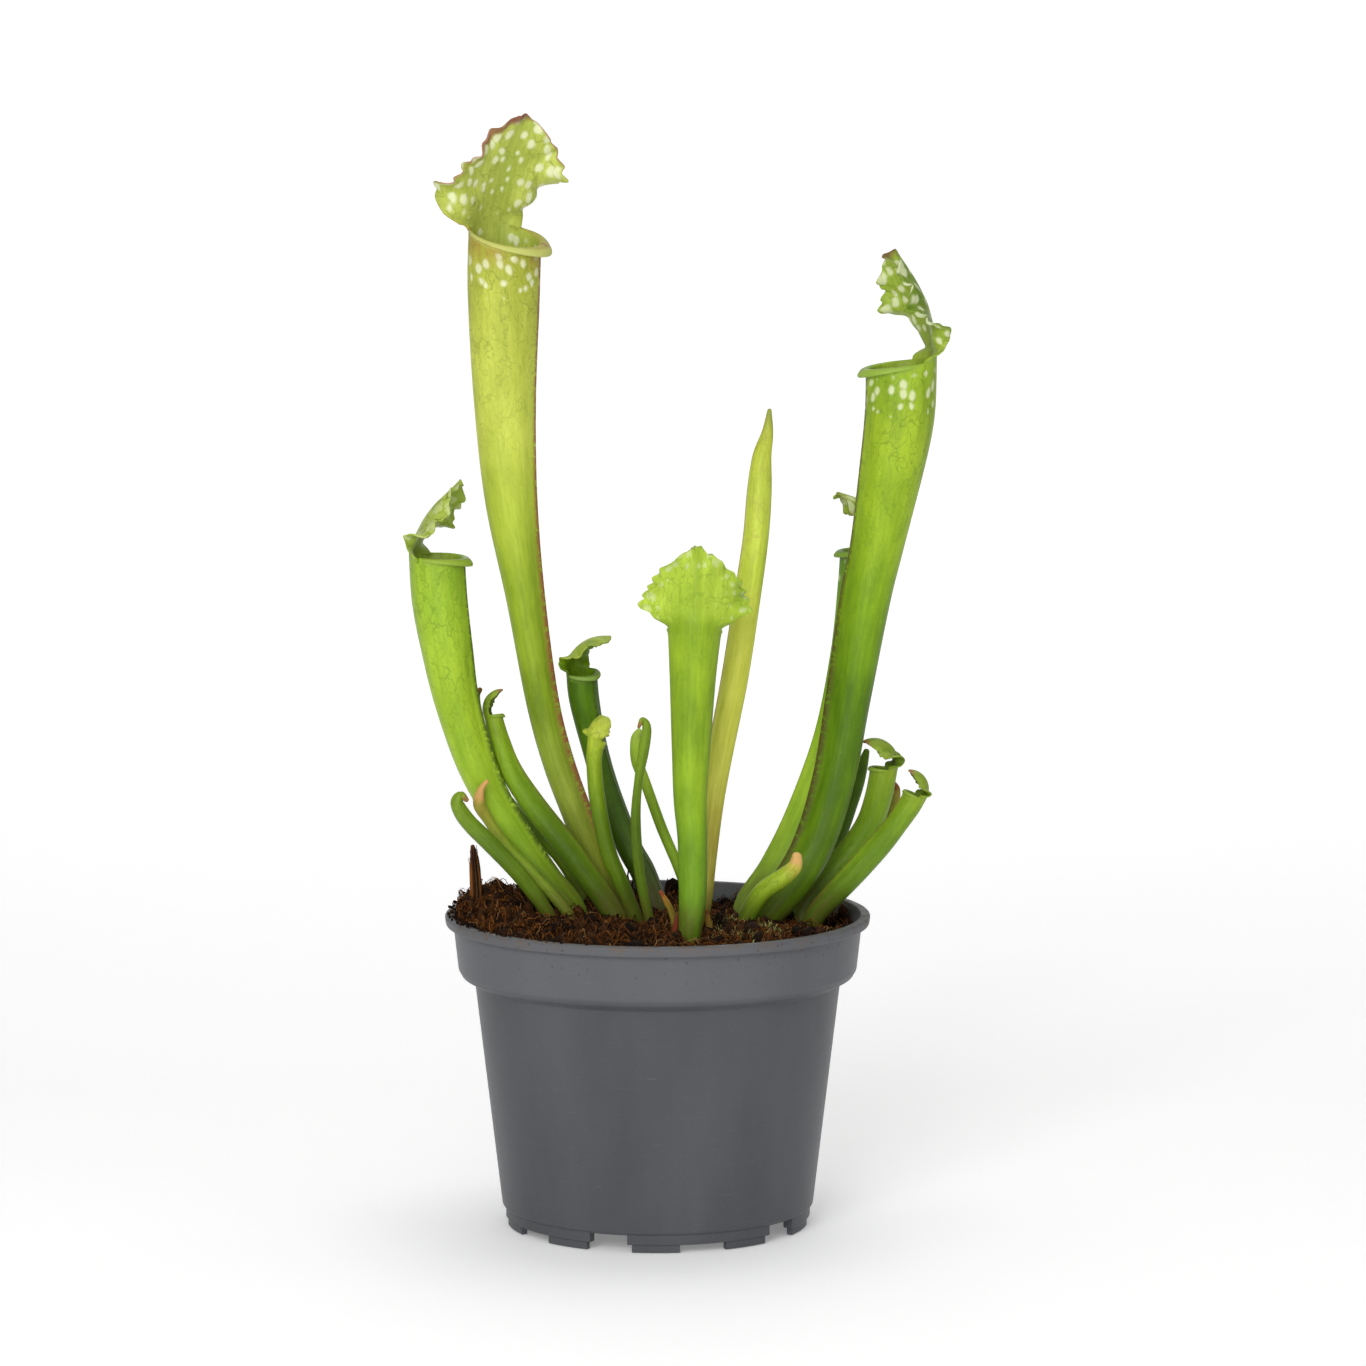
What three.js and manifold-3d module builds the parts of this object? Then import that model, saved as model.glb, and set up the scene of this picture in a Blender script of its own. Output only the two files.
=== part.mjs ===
// A potted pitcher plant. Each leaf is one hollow or closed tube that grows from a rootstock in the soil,
// and the soil fills a nursery pot. Millimetres, +Z up. The plant is laid out round the pot's axis, and the
// whole group is moved at the end so that the middle of its bounding box's floor is the origin.
import * as THREE from "three";
import { mergeVertices } from "three/addons/utils/BufferGeometryUtils.js";
import Module from "manifold-3d";

const wasm = await Module();
wasm.setup();

// ---- Driving dimensions ------------------------------------------------------------------------------
const GAP = 0.3; // clearance between neighbouring pieces
const LEAF_WALL = 0.8; // thickness of a pitcher's wall
const HOOD_WALL = 0.75; // thickness of a hood blade
const ROOT_Z = 77; // height of the rootstock's middle line above the floor

const POT = {
  rimRadius: 60,
  height: 88.5,
  flangeDepth: 3,
  bandTop: 57.6,
  bandBottom: 56.2,
  bandZ: 73,
  bodyTop: 51.6,
  bodyTopZ: 69.4,
  bodyBottom: 44.05,
  floorZ: 4.9,
  floorThick: 1.5,
  wall: 1.2,
  sides: 48,
};
const FOOT = {
  arcs: 5,
  arcSpan: 57.5,
  firstArc: 17.4, // degrees from the front to the middle of the first arc
  outer: 43.2,
  inner: 40.4,
  underside: 2.2,
  padSpan: 18,
  padTurn: 18.1, // degrees from an arc's middle to each of its two pads
  drainRadius: 3.6,
  drainRing: 33,
};
const SOIL = { level: 86.8, sectors: 36, rings: [13, 25, 36, 45, 51.5], edge: 56, lump: 0.9 };
const HEAPS = [
  // x, y, radius, height above the soil's level
  [-46, 6, 15, 6.5],
  [-30, -22, 14, 1.2],
  [34, 34, 22, -7.5],
  [50, -2, 13, -5],
  [8, 42, 18, -3],
];

// ---- Small helpers -----------------------------------------------------------------------------------
const TURN = Math.PI * 2;
const rad = THREE.MathUtils.degToRad;
const mix = THREE.MathUtils.lerp;
const smooth = THREE.MathUtils.smoothstep;
const vec = (x, y, z) => new THREE.Vector3(x, y, z);

// A repeatable number from 0 to 1 for a pair of whole numbers.
function chance(i, j) {
  const n = Math.sin(i * 127.1 + j * 311.7) * 43758.5453;
  return n - Math.floor(n);
}

// Rows of numbers blended smoothly: t runs from 0 at the first row to 1 at the last.
function blendRows(rows, t) {
  const last = rows.length - 1;
  const i = Math.min(Math.floor(t * last), last - 1);
  const f = t * last - i;
  const [a, b, c, d] = [i - 1, i, i + 1, i + 2].map((k) => rows[THREE.MathUtils.clamp(k, 0, last)]);
  return b.map((value, k) => {
    const cubic = 3 * (value - c[k]) + d[k] - a[k];
    const square = 2 * a[k] - 5 * value + 4 * c[k] - d[k];
    return value + 0.5 * f * (c[k] - a[k] + f * (square + f * cubic));
  });
}

// A skin of numbered points and triangles, stitched together row by row.
class Skin {
  points = [];
  faces = [];
  row(points) {
    return points.map((p) => this.points.push(p) - 1);
  }
  // Joins two rows of equal length; their faces look away from the side that the rows turn left round.
  join(low, high, closed = true, flip = false) {
    const n = low.length;
    for (let i = 0; i < (closed ? n : n - 1); i++) {
      const k = (i + 1) % n;
      this.face(low[i], low[k], high[k], flip);
      this.face(low[i], high[k], high[i], flip);
    }
  }
  // Joins two open rows of any length that share their two ends' sides.
  zip(low, high, flip = false) {
    let [i, k] = [0, 0];
    while (i < low.length - 1 || k < high.length - 1) {
      const stepLow = (i + 1) / (low.length - 1) <= (k + 1) / (high.length - 1) || k === high.length - 1;
      if (stepLow && i < low.length - 1) {
        this.face(low[i], low[i + 1], high[k], flip);
        i += 1;
      } else {
        this.face(low[i], high[k + 1], high[k], flip);
        k += 1;
      }
    }
  }
  fan(ring, middle, flip = false) {
    const [centre] = this.row([middle]);
    ring.forEach((p, i) => this.face(p, ring[(i + 1) % ring.length], centre, flip));
  }
  face(a, b, c, flip = false) {
    this.faces.push(...(flip ? [a, c, b] : [a, b, c]));
  }
  geometry() {
    const g = new THREE.BufferGeometry().setFromPoints(this.points);
    g.setIndex(this.faces);
    return g;
  }
}

// Between three.js geometry and a solid that can be joined and cut.
function solidOf(geometry) {
  const bare = geometry.clone();
  bare.deleteAttribute("normal");
  bare.deleteAttribute("uv");
  const g = mergeVertices(bare, 1e-3);
  const triVerts = new Uint32Array(g.index.array);
  return new wasm.Manifold(
    new wasm.Mesh({ numProp: 3, vertProperties: new Float32Array(g.attributes.position.array), triVerts }),
  );
}

function geometryOf(solid) {
  const mesh = solid.getMesh();
  const g = new THREE.BufferGeometry();
  g.setAttribute("position", new THREE.BufferAttribute(new Float32Array(mesh.vertProperties), 3));
  g.setIndex(new THREE.BufferAttribute(new Uint32Array(mesh.triVerts), 1));
  return g;
}

const plant = new THREE.Group();

function addPiece(name, geometry, finish) {
  const g = geometry.toNonIndexed();
  g.computeVertexNormals();
  const mesh = new THREE.Mesh(g, new THREE.MeshStandardMaterial(finish));
  mesh.name = name;
  plant.add(mesh);
}

const LEAF_FINISH = { roughness: 0.38, metalness: 0 };
const FINISH = {
  plastic: { color: "#58595b", roughness: 0.5, metalness: 0 },
  peat: { color: "#3a241a", roughness: 0.95, metalness: 0 },
  root: { color: "#6b4a35", roughness: 0.85, metalness: 0 },
  fresh: { color: "#7fb32c", ...LEAF_FINISH },
  lime: { color: "#a9c64f", ...LEAF_FINISH },
  deep: { color: "#4f8f1e", ...LEAF_FINISH },
  yellow: { color: "#c3cb5e", ...LEAF_FINISH },
  dry: { color: "#4a3020", roughness: 0.9, metalness: 0 },
  red: { color: "#8c2f2a", roughness: 0.5, metalness: 0 },
};

// ---- Leaves ------------------------------------------------------------------------------------------
// Each stem row is x, y, z of the leaf's middle line, the tube's radius, and how far the keel stands out.
// face is the compass turn, in degrees from +X towards +Y, of the keel and mouth, and twist is how much
// further the leaf turns on its way up to the mouth. A hood is a blade that grows from the back of the
// mouth: its length and half width in millimetres, where it is widest and how full its outline is above
// that, how much wider one side is than the other, the half angle of the rim it grows from, its lean over
// the mouth at its neck and at its tip, its own turn, how open its bend is against the tube's, how far the
// ears at its foot bend back, and the height and number of its frills.
const LEAVES = {
  pitcher_left_tall: {
    colour: "lime",
    face: -12,
    twist: -43,
    stem: [
      [-10, 12, 78, 3.6, 0.4],
      [-12.7, 15, 88.2, 3.9, 0.8],
      [-17.2, 14, 97.9, 3.9, 1],
      [-22.5, 13, 112.4, 3.8, 1.3],
      [-28.7, 12, 129.7, 3.9, 1.4],
      [-33.2, 11, 147.5, 4.1, 1.4],
      [-37.6, 10, 176.1, 5, 1.2],
      [-41.5, 9, 204.5, 7, 1],
      [-43, 8, 232.7, 8.5, 0.7],
      [-43.1, 8, 262, 10, 0.4],
      [-42.6, 8, 278.6, 10.2, 0.2],
    ],
    slope: 3.4,
    roll: 2.6,
    hollow: 0.42,
    hood: {
      length: 34.8, half: 19.6, widest: 0.23, full: 1.5, taper: 0.75, skew: -0.32, neck: 58, lean: [20, 34],
      turn: -2, hollow: 2.6, ears: 2.4, frill: 1.5, waves: 9,
    },
  },
  pitcher_left_short: {
    colour: "fresh",
    face: -12,
    stem: [
      [-22, 8, 79, 3.4, 0.4],
      [-25.4, 8, 88.5, 4.2, 0.8],
      [-32.4, 7, 97.3, 4.4, 1],
      [-39.1, 6, 106.9, 4.5, 1.2],
      [-46.8, 4, 120, 4.6, 1.3],
      [-52.2, 2, 132.5, 5.2, 1.2],
      [-56.8, 1, 148.8, 6, 1],
      [-59.3, 0, 163.1, 7, 0.8],
      [-61.4, 0, 177.2, 7.9, 0.5],
      [-62.1, 0, 189, 8.1, 0.3],
    ],
    slope: 0.9,
    roll: 1.8,
    hollow: 0.42,
    hood: {
      length: 26.5, half: 11.5, widest: 0.32, full: 2.2, taper: 0.66, neck: 66, lean: [21, 58], turn: -10,
      hollow: 1.2, ears: 2.1, frill: 1.1, waves: 9,
    },
  },
  pitcher_left_young: {
    colour: "fresh",
    face: -10,
    stem: [
      [-8, 5, 79, 2.6, 0.3],
      [-12.9, 3.5, 88.2, 3, 0.5],
      [-24.7, 3, 105, 3, 0.9],
      [-35.1, 3.5, 118, 2.9, 1.2],
      [-41.6, 4, 128.1, 2.7, 1],
      [-44.6, 5, 136.5, 2.6, 0.5],
      [-46.4, 6, 143.5, 2.5, 0.2],
    ],
    slope: 0.4,
    roll: 0.6,
    hollow: 0.86,
    hood: {
      length: 11, half: 3.6, widest: 0.4, full: 2.4, neck: 76, lean: [-6, 104], turn: 0,
      hollow: 1.05, ears: 0, frill: 0.2, waves: 4,
    },
  },
  leaf_left_slim: {
    colour: "lime",
    face: 20,
    stem: [
      [-16, 16, 79, 1.9, 0.2],
      [-20, 18.5, 88, 2, 0.3],
      [-27.8, 18, 101.6, 2, 0.5],
      [-39.1, 16.5, 113.1, 1.9, 0.5],
      [-47.8, 15, 124.9, 1.8, 0.4],
      [-50.8, 13.5, 137.4, 1.7, 0.3],
      [-51.6, 12.5, 147.4, 1.4, 0.1],
      [-50.2, 12, 150.4, 0.7, 0],
    ],
  },
  leaf_left_outer: {
    colour: "fresh",
    face: 160,
    stem: [
      [-27.5, -1, 79, 1.8, 0.2],
      [-31, -7, 89.5, 2, 0.3],
      [-38.6, -9.5, 100.6, 2.2, 0.4],
      [-46.9, -10.5, 109.7, 2.4, 0.4],
      [-53.1, -10.5, 116.1, 2.3, 0.4],
      [-56, -10.5, 120.9, 1.9, 0.2],
      [-55, -10.5, 123.3, 1.3, 0],
      [-53.4, -10.5, 122.1, 0.7, 0],
    ],
  },
  leaf_left_dried: {
    colour: "yellow",
    face: 160,
    stem: [
      [-22, -1, 79, 1.5, 0.1],
      [-25.5, -3.5, 89, 1.7, 0.2],
      [-34.5, -4, 99.4, 1.7, 0.2],
      [-42.4, -4.2, 108, 1.6, 0.2],
      [-47.5, -4.6, 115.4, 1.5, 0.1],
      [-50, -5.2, 120, 1.8, 0],
      [-49.4, -5.6, 124.4, 1, 0],
      [-47.8, -5.6, 126.6, 0.6, 0],
    ],
  },
  pitcher_middle_dark: {
    colour: "deep",
    face: -48,
    stem: [
      [1, 8, 79, 3.2, 0.3],
      [-0.4, 9, 88, 3.5, 0.6],
      [-4.1, 11.5, 98.1, 3.6, 0.8],
      [-8.4, 13, 105.9, 3.6, 1],
      [-14.3, 14, 121.3, 3.6, 0.9],
      [-18, 13, 134.4, 3.7, 0.6],
      [-20.7, 11, 147.5, 4.3, 0.4],
      [-21.4, 10, 155.2, 4.4, 0.2],
    ],
    slope: 0.3,
    roll: 1,
    hollow: 0.6,
    hood: {
      length: 18.5, half: 6.6, widest: 0.34, full: 2.2, neck: 72, lean: [0, 110], turn: 22,
      hollow: 1.6, ears: 1.6, frill: 0.6, waves: 6,
    },
  },
  pitcher_middle_light: {
    colour: "lime",
    face: 48,
    stem: [
      [-3.5, 1, 79, 1.8, 0.2],
      [-6.1, -2.5, 86.9, 2.1, 0.3],
      [-10, -4.5, 97.2, 2.2, 0.4],
      [-13.9, -5, 106.8, 2.3, 0.5],
      [-16.8, -5, 120.8, 2.3, 0.5],
      [-17.8, -5, 132.2, 2.2, 0.3],
      [-17.2, -5, 137.6, 2.5, 0.1],
    ],
    slope: 0.3,
    roll: 0.5,
    hollow: 0.84,
    hood: {
      length: 9.5, half: 5, widest: 0.4, full: 2, neck: 80, lean: [-6, 80], turn: 0,
      hollow: 1.5, ears: 1.5, frill: 0.3, waves: 4,
    },
  },
  leaf_curled: {
    colour: "fresh",
    face: -90,
    stem: [
      [0.5, -1.5, 79, 1.2, 0.1],
      [-2.1, -9, 87, 1.4, 0.2],
      [-5.1, -11, 102.5, 1.5, 0.3],
      [-6.1, -11.5, 116.9, 1.4, 0.3],
      [-5.4, -11.5, 127.1, 1.2, 0.2],
      [-4, -11.5, 135.5, 1.5, 0.2],
      [-3, -11.5, 142.4, 1.3, 0],
      [-4.2, -12, 144.8, 0.8, 0],
      [-5.2, -12.8, 143, 0.5, 0],
    ],
  },
  leaf_thin_lobed: {
    colour: "fresh",
    face: 90,
    stem: [
      [9.5, 1, 79, 1.3, 0.1],
      [8.9, 3, 91.4, 1.5, 0.2],
      [6.1, 3.6, 100.1, 1.5, 0.3],
      [1, 4, 112.5, 1.5, 0.4],
      [-3.4, 3.6, 124.8, 1.5, 0.4],
      [-5.8, 2.8, 131.5, 1.7, 0.3],
      [-6.1, 2, 137.4, 1.5, 0.1],
      [-5.2, 1.4, 140, 0.8, 0],
    ],
  },
  pitcher_centre_front: {
    colour: "fresh",
    face: 90,
    stem: [
      [9, -34, 78.5, 2.8, 0.3],
      [8.8, -38, 87, 3, 0.8],
      [9.6, -38, 98.2, 3.8, 0.9],
      [9.6, -37, 114.4, 4.1, 0.9],
      [9, -36, 125.7, 4.6, 0.8],
      [9.2, -35, 139.4, 5.3, 0.7],
      [9.7, -34, 159.5, 6.4, 0.4],
      [10.2, -34, 172.4, 7.4, 0.2],
    ],
    slope: 1.2,
    roll: 1.4,
    hollow: 0.42,
    hood: {
      length: 22.5, half: 16, widest: 0.3, full: 1.7, taper: 0.7, neck: 84, lean: [2, 22], turn: 0,
      hollow: 2.6, ears: 1.1, frill: 1.3, waves: 11,
    },
  },
  pitcher_unopened: {
    colour: "yellow",
    face: 180,
    stem: [
      [11.5, -9.5, 79, 2, 0.2],
      [12.4, -14, 90.1, 2.3, 0.3],
      [13, -14.5, 95.1, 2.4, 0.4],
      [14, -12, 106, 2.5, 0.5],
      [15.6, -9, 121.2, 3, 0.5],
      [18.2, -6, 137, 3.4, 0.5],
      [21.8, -2, 155.4, 3.6, 0.5],
      [24.9, 1, 174.1, 3.6, 0.4],
      [27.6, 3, 193, 3.5, 0.3],
      [28.7, 4, 207.4, 3.4, 0.2],
      [29.4, 4.6, 217, 2.7, 0],
      [30.8, 5, 223.5, 1.7, 0],
      [31.4, 5, 230, 0.6, 0],
    ],
  },
  pitcher_right_tall: {
    colour: "deep",
    face: 188,
    stem: [
      [26.5, 3, 79, 3.6, 0.4],
      [29, 2, 85.5, 4.3, 0.8],
      [36, 2, 93.4, 4.8, 1.2],
      [44.5, 3, 106.5, 5, 1.8],
      [50.6, 4, 125.8, 5.1, 2],
      [54.5, 5, 148.2, 5.5, 1.9],
      [58.9, 5, 176.6, 6.6, 1.3],
      [61.9, 5, 191.5, 7.2, 0.8],
      [66.2, 4, 216.1, 9, 0.5],
      [68.2, 4, 229.9, 9.9, 0.3],
      [68.5, 4, 242.6, 10.1, 0.2],
    ],
    slope: 1.6,
    roll: 1.9,
    hollow: 0.42,
    hood: {
      length: 35, half: 16.8, widest: 0.24, full: 2.2, taper: 0.6, neck: 62, lean: [4, 50], turn: 10,
      hollow: 1.3, ears: 3.2, frill: 1.5, waves: 11,
    },
  },
  pitcher_right_back: {
    colour: "fresh",
    face: 184,
    stem: [
      [25, 22, 79, 3.4, 0.4],
      [26.8, 26, 86.4, 3.9, 0.8],
      [34.5, 28, 96.5, 4.3, 1.2],
      [42.7, 30, 111.6, 4.7, 1.4],
      [51, 32, 133.9, 5.1, 1.2],
      [56, 33, 158, 5.7, 0.8],
      [58.8, 33, 178.5, 6.8, 0.4],
      [59.8, 33, 187.4, 7.4, 0.2],
    ],
    slope: 1,
    roll: 1.4,
    hollow: 0.42,
    hood: {
      length: 26.5, half: 11.5, widest: 0.26, full: 2.4, taper: 0.58, neck: 64, lean: [10, 96], turn: 8,
      hollow: 1.3, ears: 3, frill: 1.2, waves: 9,
    },
  },
  leaf_right_front: {
    colour: "lime",
    face: 90,
    stem: [
      [24.5, -3.5, 79, 2, 0.2],
      [24.6, -9, 86.5, 2.4, 0.3],
      [26.9, -11.5, 92.7, 2.7, 0.4],
      [30.4, -13, 97.2, 2.7, 0.4],
      [34.8, -14, 100.4, 2.6, 0.3],
      [38.2, -14.2, 103.6, 2.1, 0.1],
      [38.9, -14.2, 106.6, 1.4, 0],
    ],
  },
  pitcher_right_small: {
    colour: "fresh",
    face: 186,
    stem: [
      [40, 8.5, 79, 2.6, 0.3],
      [41.9, 11.5, 88.1, 3, 0.5],
      [47.6, 12.5, 95.4, 3.4, 0.7],
      [55.4, 13, 103.9, 3.6, 0.8],
      [60.4, 12.5, 112, 3.5, 0.7],
      [62.9, 12, 120, 3.7, 0.4],
      [64.2, 12, 127.4, 3.8, 0.2],
    ],
    slope: 0.2,
    roll: 0.5,
    hollow: 0.84,
    hood: {
      length: 16.5, half: 6.5, widest: 0.4, full: 2.6, neck: 80, lean: [-6, 124], turn: 0,
      hollow: 1.05, ears: 3, frill: 0.3, waves: 5,
    },
  },
  pitcher_right_hooked: {
    colour: "fresh",
    face: 188,
    stem: [
      [43, 4, 79, 2.4, 0.2],
      [44.4, 1.5, 86.8, 2.9, 0.4],
      [50.1, -0.6, 94, 3.2, 0.6],
      [55.9, -2, 100.4, 3.3, 0.6],
      [62.6, -3, 108.2, 3.3, 0.5],
      [67.6, -4, 114.8, 3.1, 0.3],
      [70.6, -4.2, 119.2, 3.2, 0.2],
      [72.2, -4.2, 122.2, 3.3, 0.1],
    ],
    slope: 0.2,
    roll: 0.3,
    hollow: 0.9,
    hood: {
      length: 12, half: 4.8, widest: 0.42, full: 2.6, neck: 80, lean: [-2, 116], turn: 0,
      hollow: 1.05, ears: 2, frill: 0.2, waves: 4,
    },
  },
  leaf_right_brown: {
    colour: "yellow",
    face: 180,
    stem: [
      [43.5, 19, 79, 1.5, 0.1],
      [45.6, 23, 87, 1.7, 0.2],
      [55.6, 25, 97.3, 1.8, 0.3],
      [63.6, 25, 107.5, 1.8, 0.3],
      [67, 25, 115, 1.8, 0.2],
      [68.2, 25, 119.6, 1.3, 0],
      [67.4, 25, 122, 0.6, 0],
    ],
  },
  leaf_right_dark: {
    colour: "deep",
    face: 180,
    stem: [
      [37, 15, 79, 1.5, 0.1],
      [38.2, 20.5, 86.5, 1.7, 0.2],
      [49.6, 22.8, 101.9, 1.9, 0.3],
      [55.6, 23, 116.8, 1.9, 0.3],
      [58.2, 23, 126, 1.7, 0.2],
      [59.6, 23, 131.2, 0.9, 0],
    ],
  },
  stub_dry: {
    colour: "dry",
    face: 0,
    stem: [
      [-51.5, 3, 84, 1.2, 0.1],
      [-51.2, 1, 92, 1.5, 0.2],
      [-51.4, 0.4, 98, 1.4, 0.3],
      [-51.8, 0, 103.5, 1.1, 0.4],
      [-52.1, -0.4, 107.4, 0.6, 0],
    ],
  },
  shoot_yellow: {
    colour: "yellow",
    face: 0,
    stem: [
      [5.2, -14, 80, 0.7, 0],
      [4.4, -16, 89, 0.9, 0.2],
      [2.6, -18, 94, 0.8, 0.2],
      [0.8, -19, 97.4, 0.45, 0],
    ],
  },
  shoot_red: {
    colour: "red",
    face: 0,
    stem: [
      [4.4, -24, 80, 0.7, 0],
      [4.9, -25, 88, 0.8, 0.2],
      [5.5, -25.4, 92.5, 0.45, 0],
    ],
  },
  shoot_pale: {
    colour: "yellow",
    face: 0,
    stem: [
      [14.6, -25, 80, 0.7, 0],
      [14.2, -27, 88.5, 0.9, 0.2],
      [13.4, -27.6, 93.5, 0.45, 0],
    ],
  },
};

const STEM_CLEAR = 3; // the stems' holes run on this far above the soil
const STEM_ROOM = 0.13; // share of a stem's radius that its hole in the soil is wider by
const SIDES = {
  big: [0, 12, 32, 56, 82, 106, 130, 155, 180],
  small: [0, 18, 56, 98, 140, 180],
  closed: [0, 24, 66, 112, 180],
  stem: [0, 45, 90, 135, 180],
  root: [0, 60, 120, 180],
};

// Half a turn of angles, mirrored into a whole ring of section angles.
function ringAngles(half) {
  const mirrored = half.slice(1, -1).reverse();
  return [...half, ...mirrored.map((a) => 360 - a)].map(rad);
}

// The middle point, axis, keel direction, side direction, radius and keel of a leaf at t along its stem.
function station(leaf, t) {
  const [x, y, z, radius, keel] = blendRows(leaf.stem, t);
  const step = 0.01;
  const ahead = blendRows(leaf.stem, Math.min(t + step, 1));
  const behind = blendRows(leaf.stem, Math.max(t - step, 0));
  const axis = vec(ahead[0] - behind[0], ahead[1] - behind[1], ahead[2] - behind[2]).normalize();
  const compass = rad(leaf.face + (leaf.twist ?? 0) * smooth(t, 0.6, 1));
  const front = leaf.lying ? vec(0, 0, 1) : vec(Math.cos(compass), Math.sin(compass), 0);
  front.addScaledVector(axis, -front.dot(axis)).normalize();
  return { middle: vec(x, y, z), axis, front, side: axis.clone().cross(front), radius, keel };
}

// One point of a leaf's section: out from the middle at an angle from the keel, and up along the axis.
function onSection(at, angle, out, up = 0) {
  const p = at.middle.clone().addScaledVector(at.axis, up);
  p.addScaledVector(at.front, out * Math.cos(angle));
  return p.addScaledVector(at.side, out * Math.sin(angle));
}

// How far the skin lies from the middle line: the tube, with the keel as a narrow ridge in front.
function skinRadius(at, angle, grow = 0) {
  const turn = Math.min(angle, TURN - angle);
  const ridge = 0.2;
  return at.radius + grow + at.keel * Math.exp(-((turn / ridge) ** 2));
}

const sectionRow = (at, angles, grow = 0) => angles.map((a) => onSection(at, a, skinRadius(at, a, grow)));

// A closed leaf, a root or a stem's clearance: rings along the rows, from one point to another.
function closedTube(leaf, steps, angles, grow = 0, lastT = 1) {
  const skin = new Skin();
  const start = station(leaf, 0);
  const rings = [];
  for (let i = 0; i <= steps; i++) {
    const at = station(leaf, (i / steps) * lastT);
    rings.push(skin.row(sectionRow(at, angles, grow)));
  }
  rings.slice(1).forEach((ring, i) => skin.join(rings[i], ring));
  skin.fan(rings[0], start.middle.clone().addScaledVector(start.axis, -0.3 * start.radius - grow), true);
  const end = station(leaf, lastT);
  skin.fan(rings[steps], end.middle.clone().addScaledVector(end.axis, 0.6 * end.radius + grow));
  return skin.geometry();
}

const NECK_TOP = 0.04; // share of a hood's length that its narrow neck takes

// The hood's half width at s along its middle line, from the neck to the tip, on the side of the sign of w.
function hoodHalf(hood, neckHalf, s, w) {
  if (s < hood.widest) return mix(neckHalf, hood.half, smooth(s, NECK_TOP, hood.widest));
  const q = (s - hood.widest) / (1 - hood.widest);
  const uneven = 1 + (hood.skew ?? 0) * Math.sign(w) * smooth(s, hood.widest, 0.8);
  return Math.max(hood.half * uneven * (1 - q ** hood.full) ** (hood.taper ?? 0.5), 0.6);
}

// One point on the hood's back, at s along the blade and w across it from -1 to 1. Across the blade the
// skin first bends forwards like the tube it grows from, and low down its margins then bend back as ears.
function onHood(hood, mouth, s, w) {
  const steps = 10;
  const twist = rad(hood.turn) * smooth(s, 0, 0.6);
  const front = mouth.front.clone().applyAxisAngle(mouth.axis, twist);
  const side = mouth.side.clone().applyAxisAngle(mouth.axis, twist);
  const leanAt = (q) => rad(mix(hood.lean[0], hood.lean[1], q));
  const p = onSection(mouth, Math.PI, mouth.radius, mouth.rim);
  for (let i = 0; i < steps; i++) {
    const lean = leanAt(((i + 0.5) / steps) * s);
    const length = (hood.length * s) / steps;
    p.addScaledVector(mouth.axis, length * Math.cos(lean)).addScaledVector(front, length * Math.sin(lean));
  }
  const inward = front.multiplyScalar(Math.cos(leanAt(s))).addScaledVector(mouth.axis, -Math.sin(leanAt(s)));
  const half = hoodHalf(hood, mouth.radius * rad(hood.neck), s, w);
  const swing = half / mix(mouth.radius, mouth.radius * hood.hollow, smooth(s, 0, 0.5));
  const ears = hood.ears * Math.exp(-(((s - 0.2) / 0.17) ** 2)) * smooth(s, 0, 0.1);
  let [over, into] = [0, 0];
  for (let i = 0; i < steps; i++) {
    const q = (Math.abs(w) * (i + 0.5)) / steps;
    const turn = swing * q - ears * smooth(q, 0.3, 1);
    over += ((Math.abs(w) * half) / steps) * Math.cos(turn);
    into += ((Math.abs(w) * half) / steps) * Math.sin(turn);
  }
  const margin = 1 - (1 - Math.abs(w) ** 3) * (1 - s ** 6);
  const spread = Math.atan2(w * half, (s - 0.35) * hood.length);
  const frill = hood.frill * margin * smooth(s, 0.02, 0.3) * Math.sin(hood.waves * spread + 0.8);
  return p.addScaledVector(side, -Math.sign(w) * over).addScaledVector(inward, into + frill);
}

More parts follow.
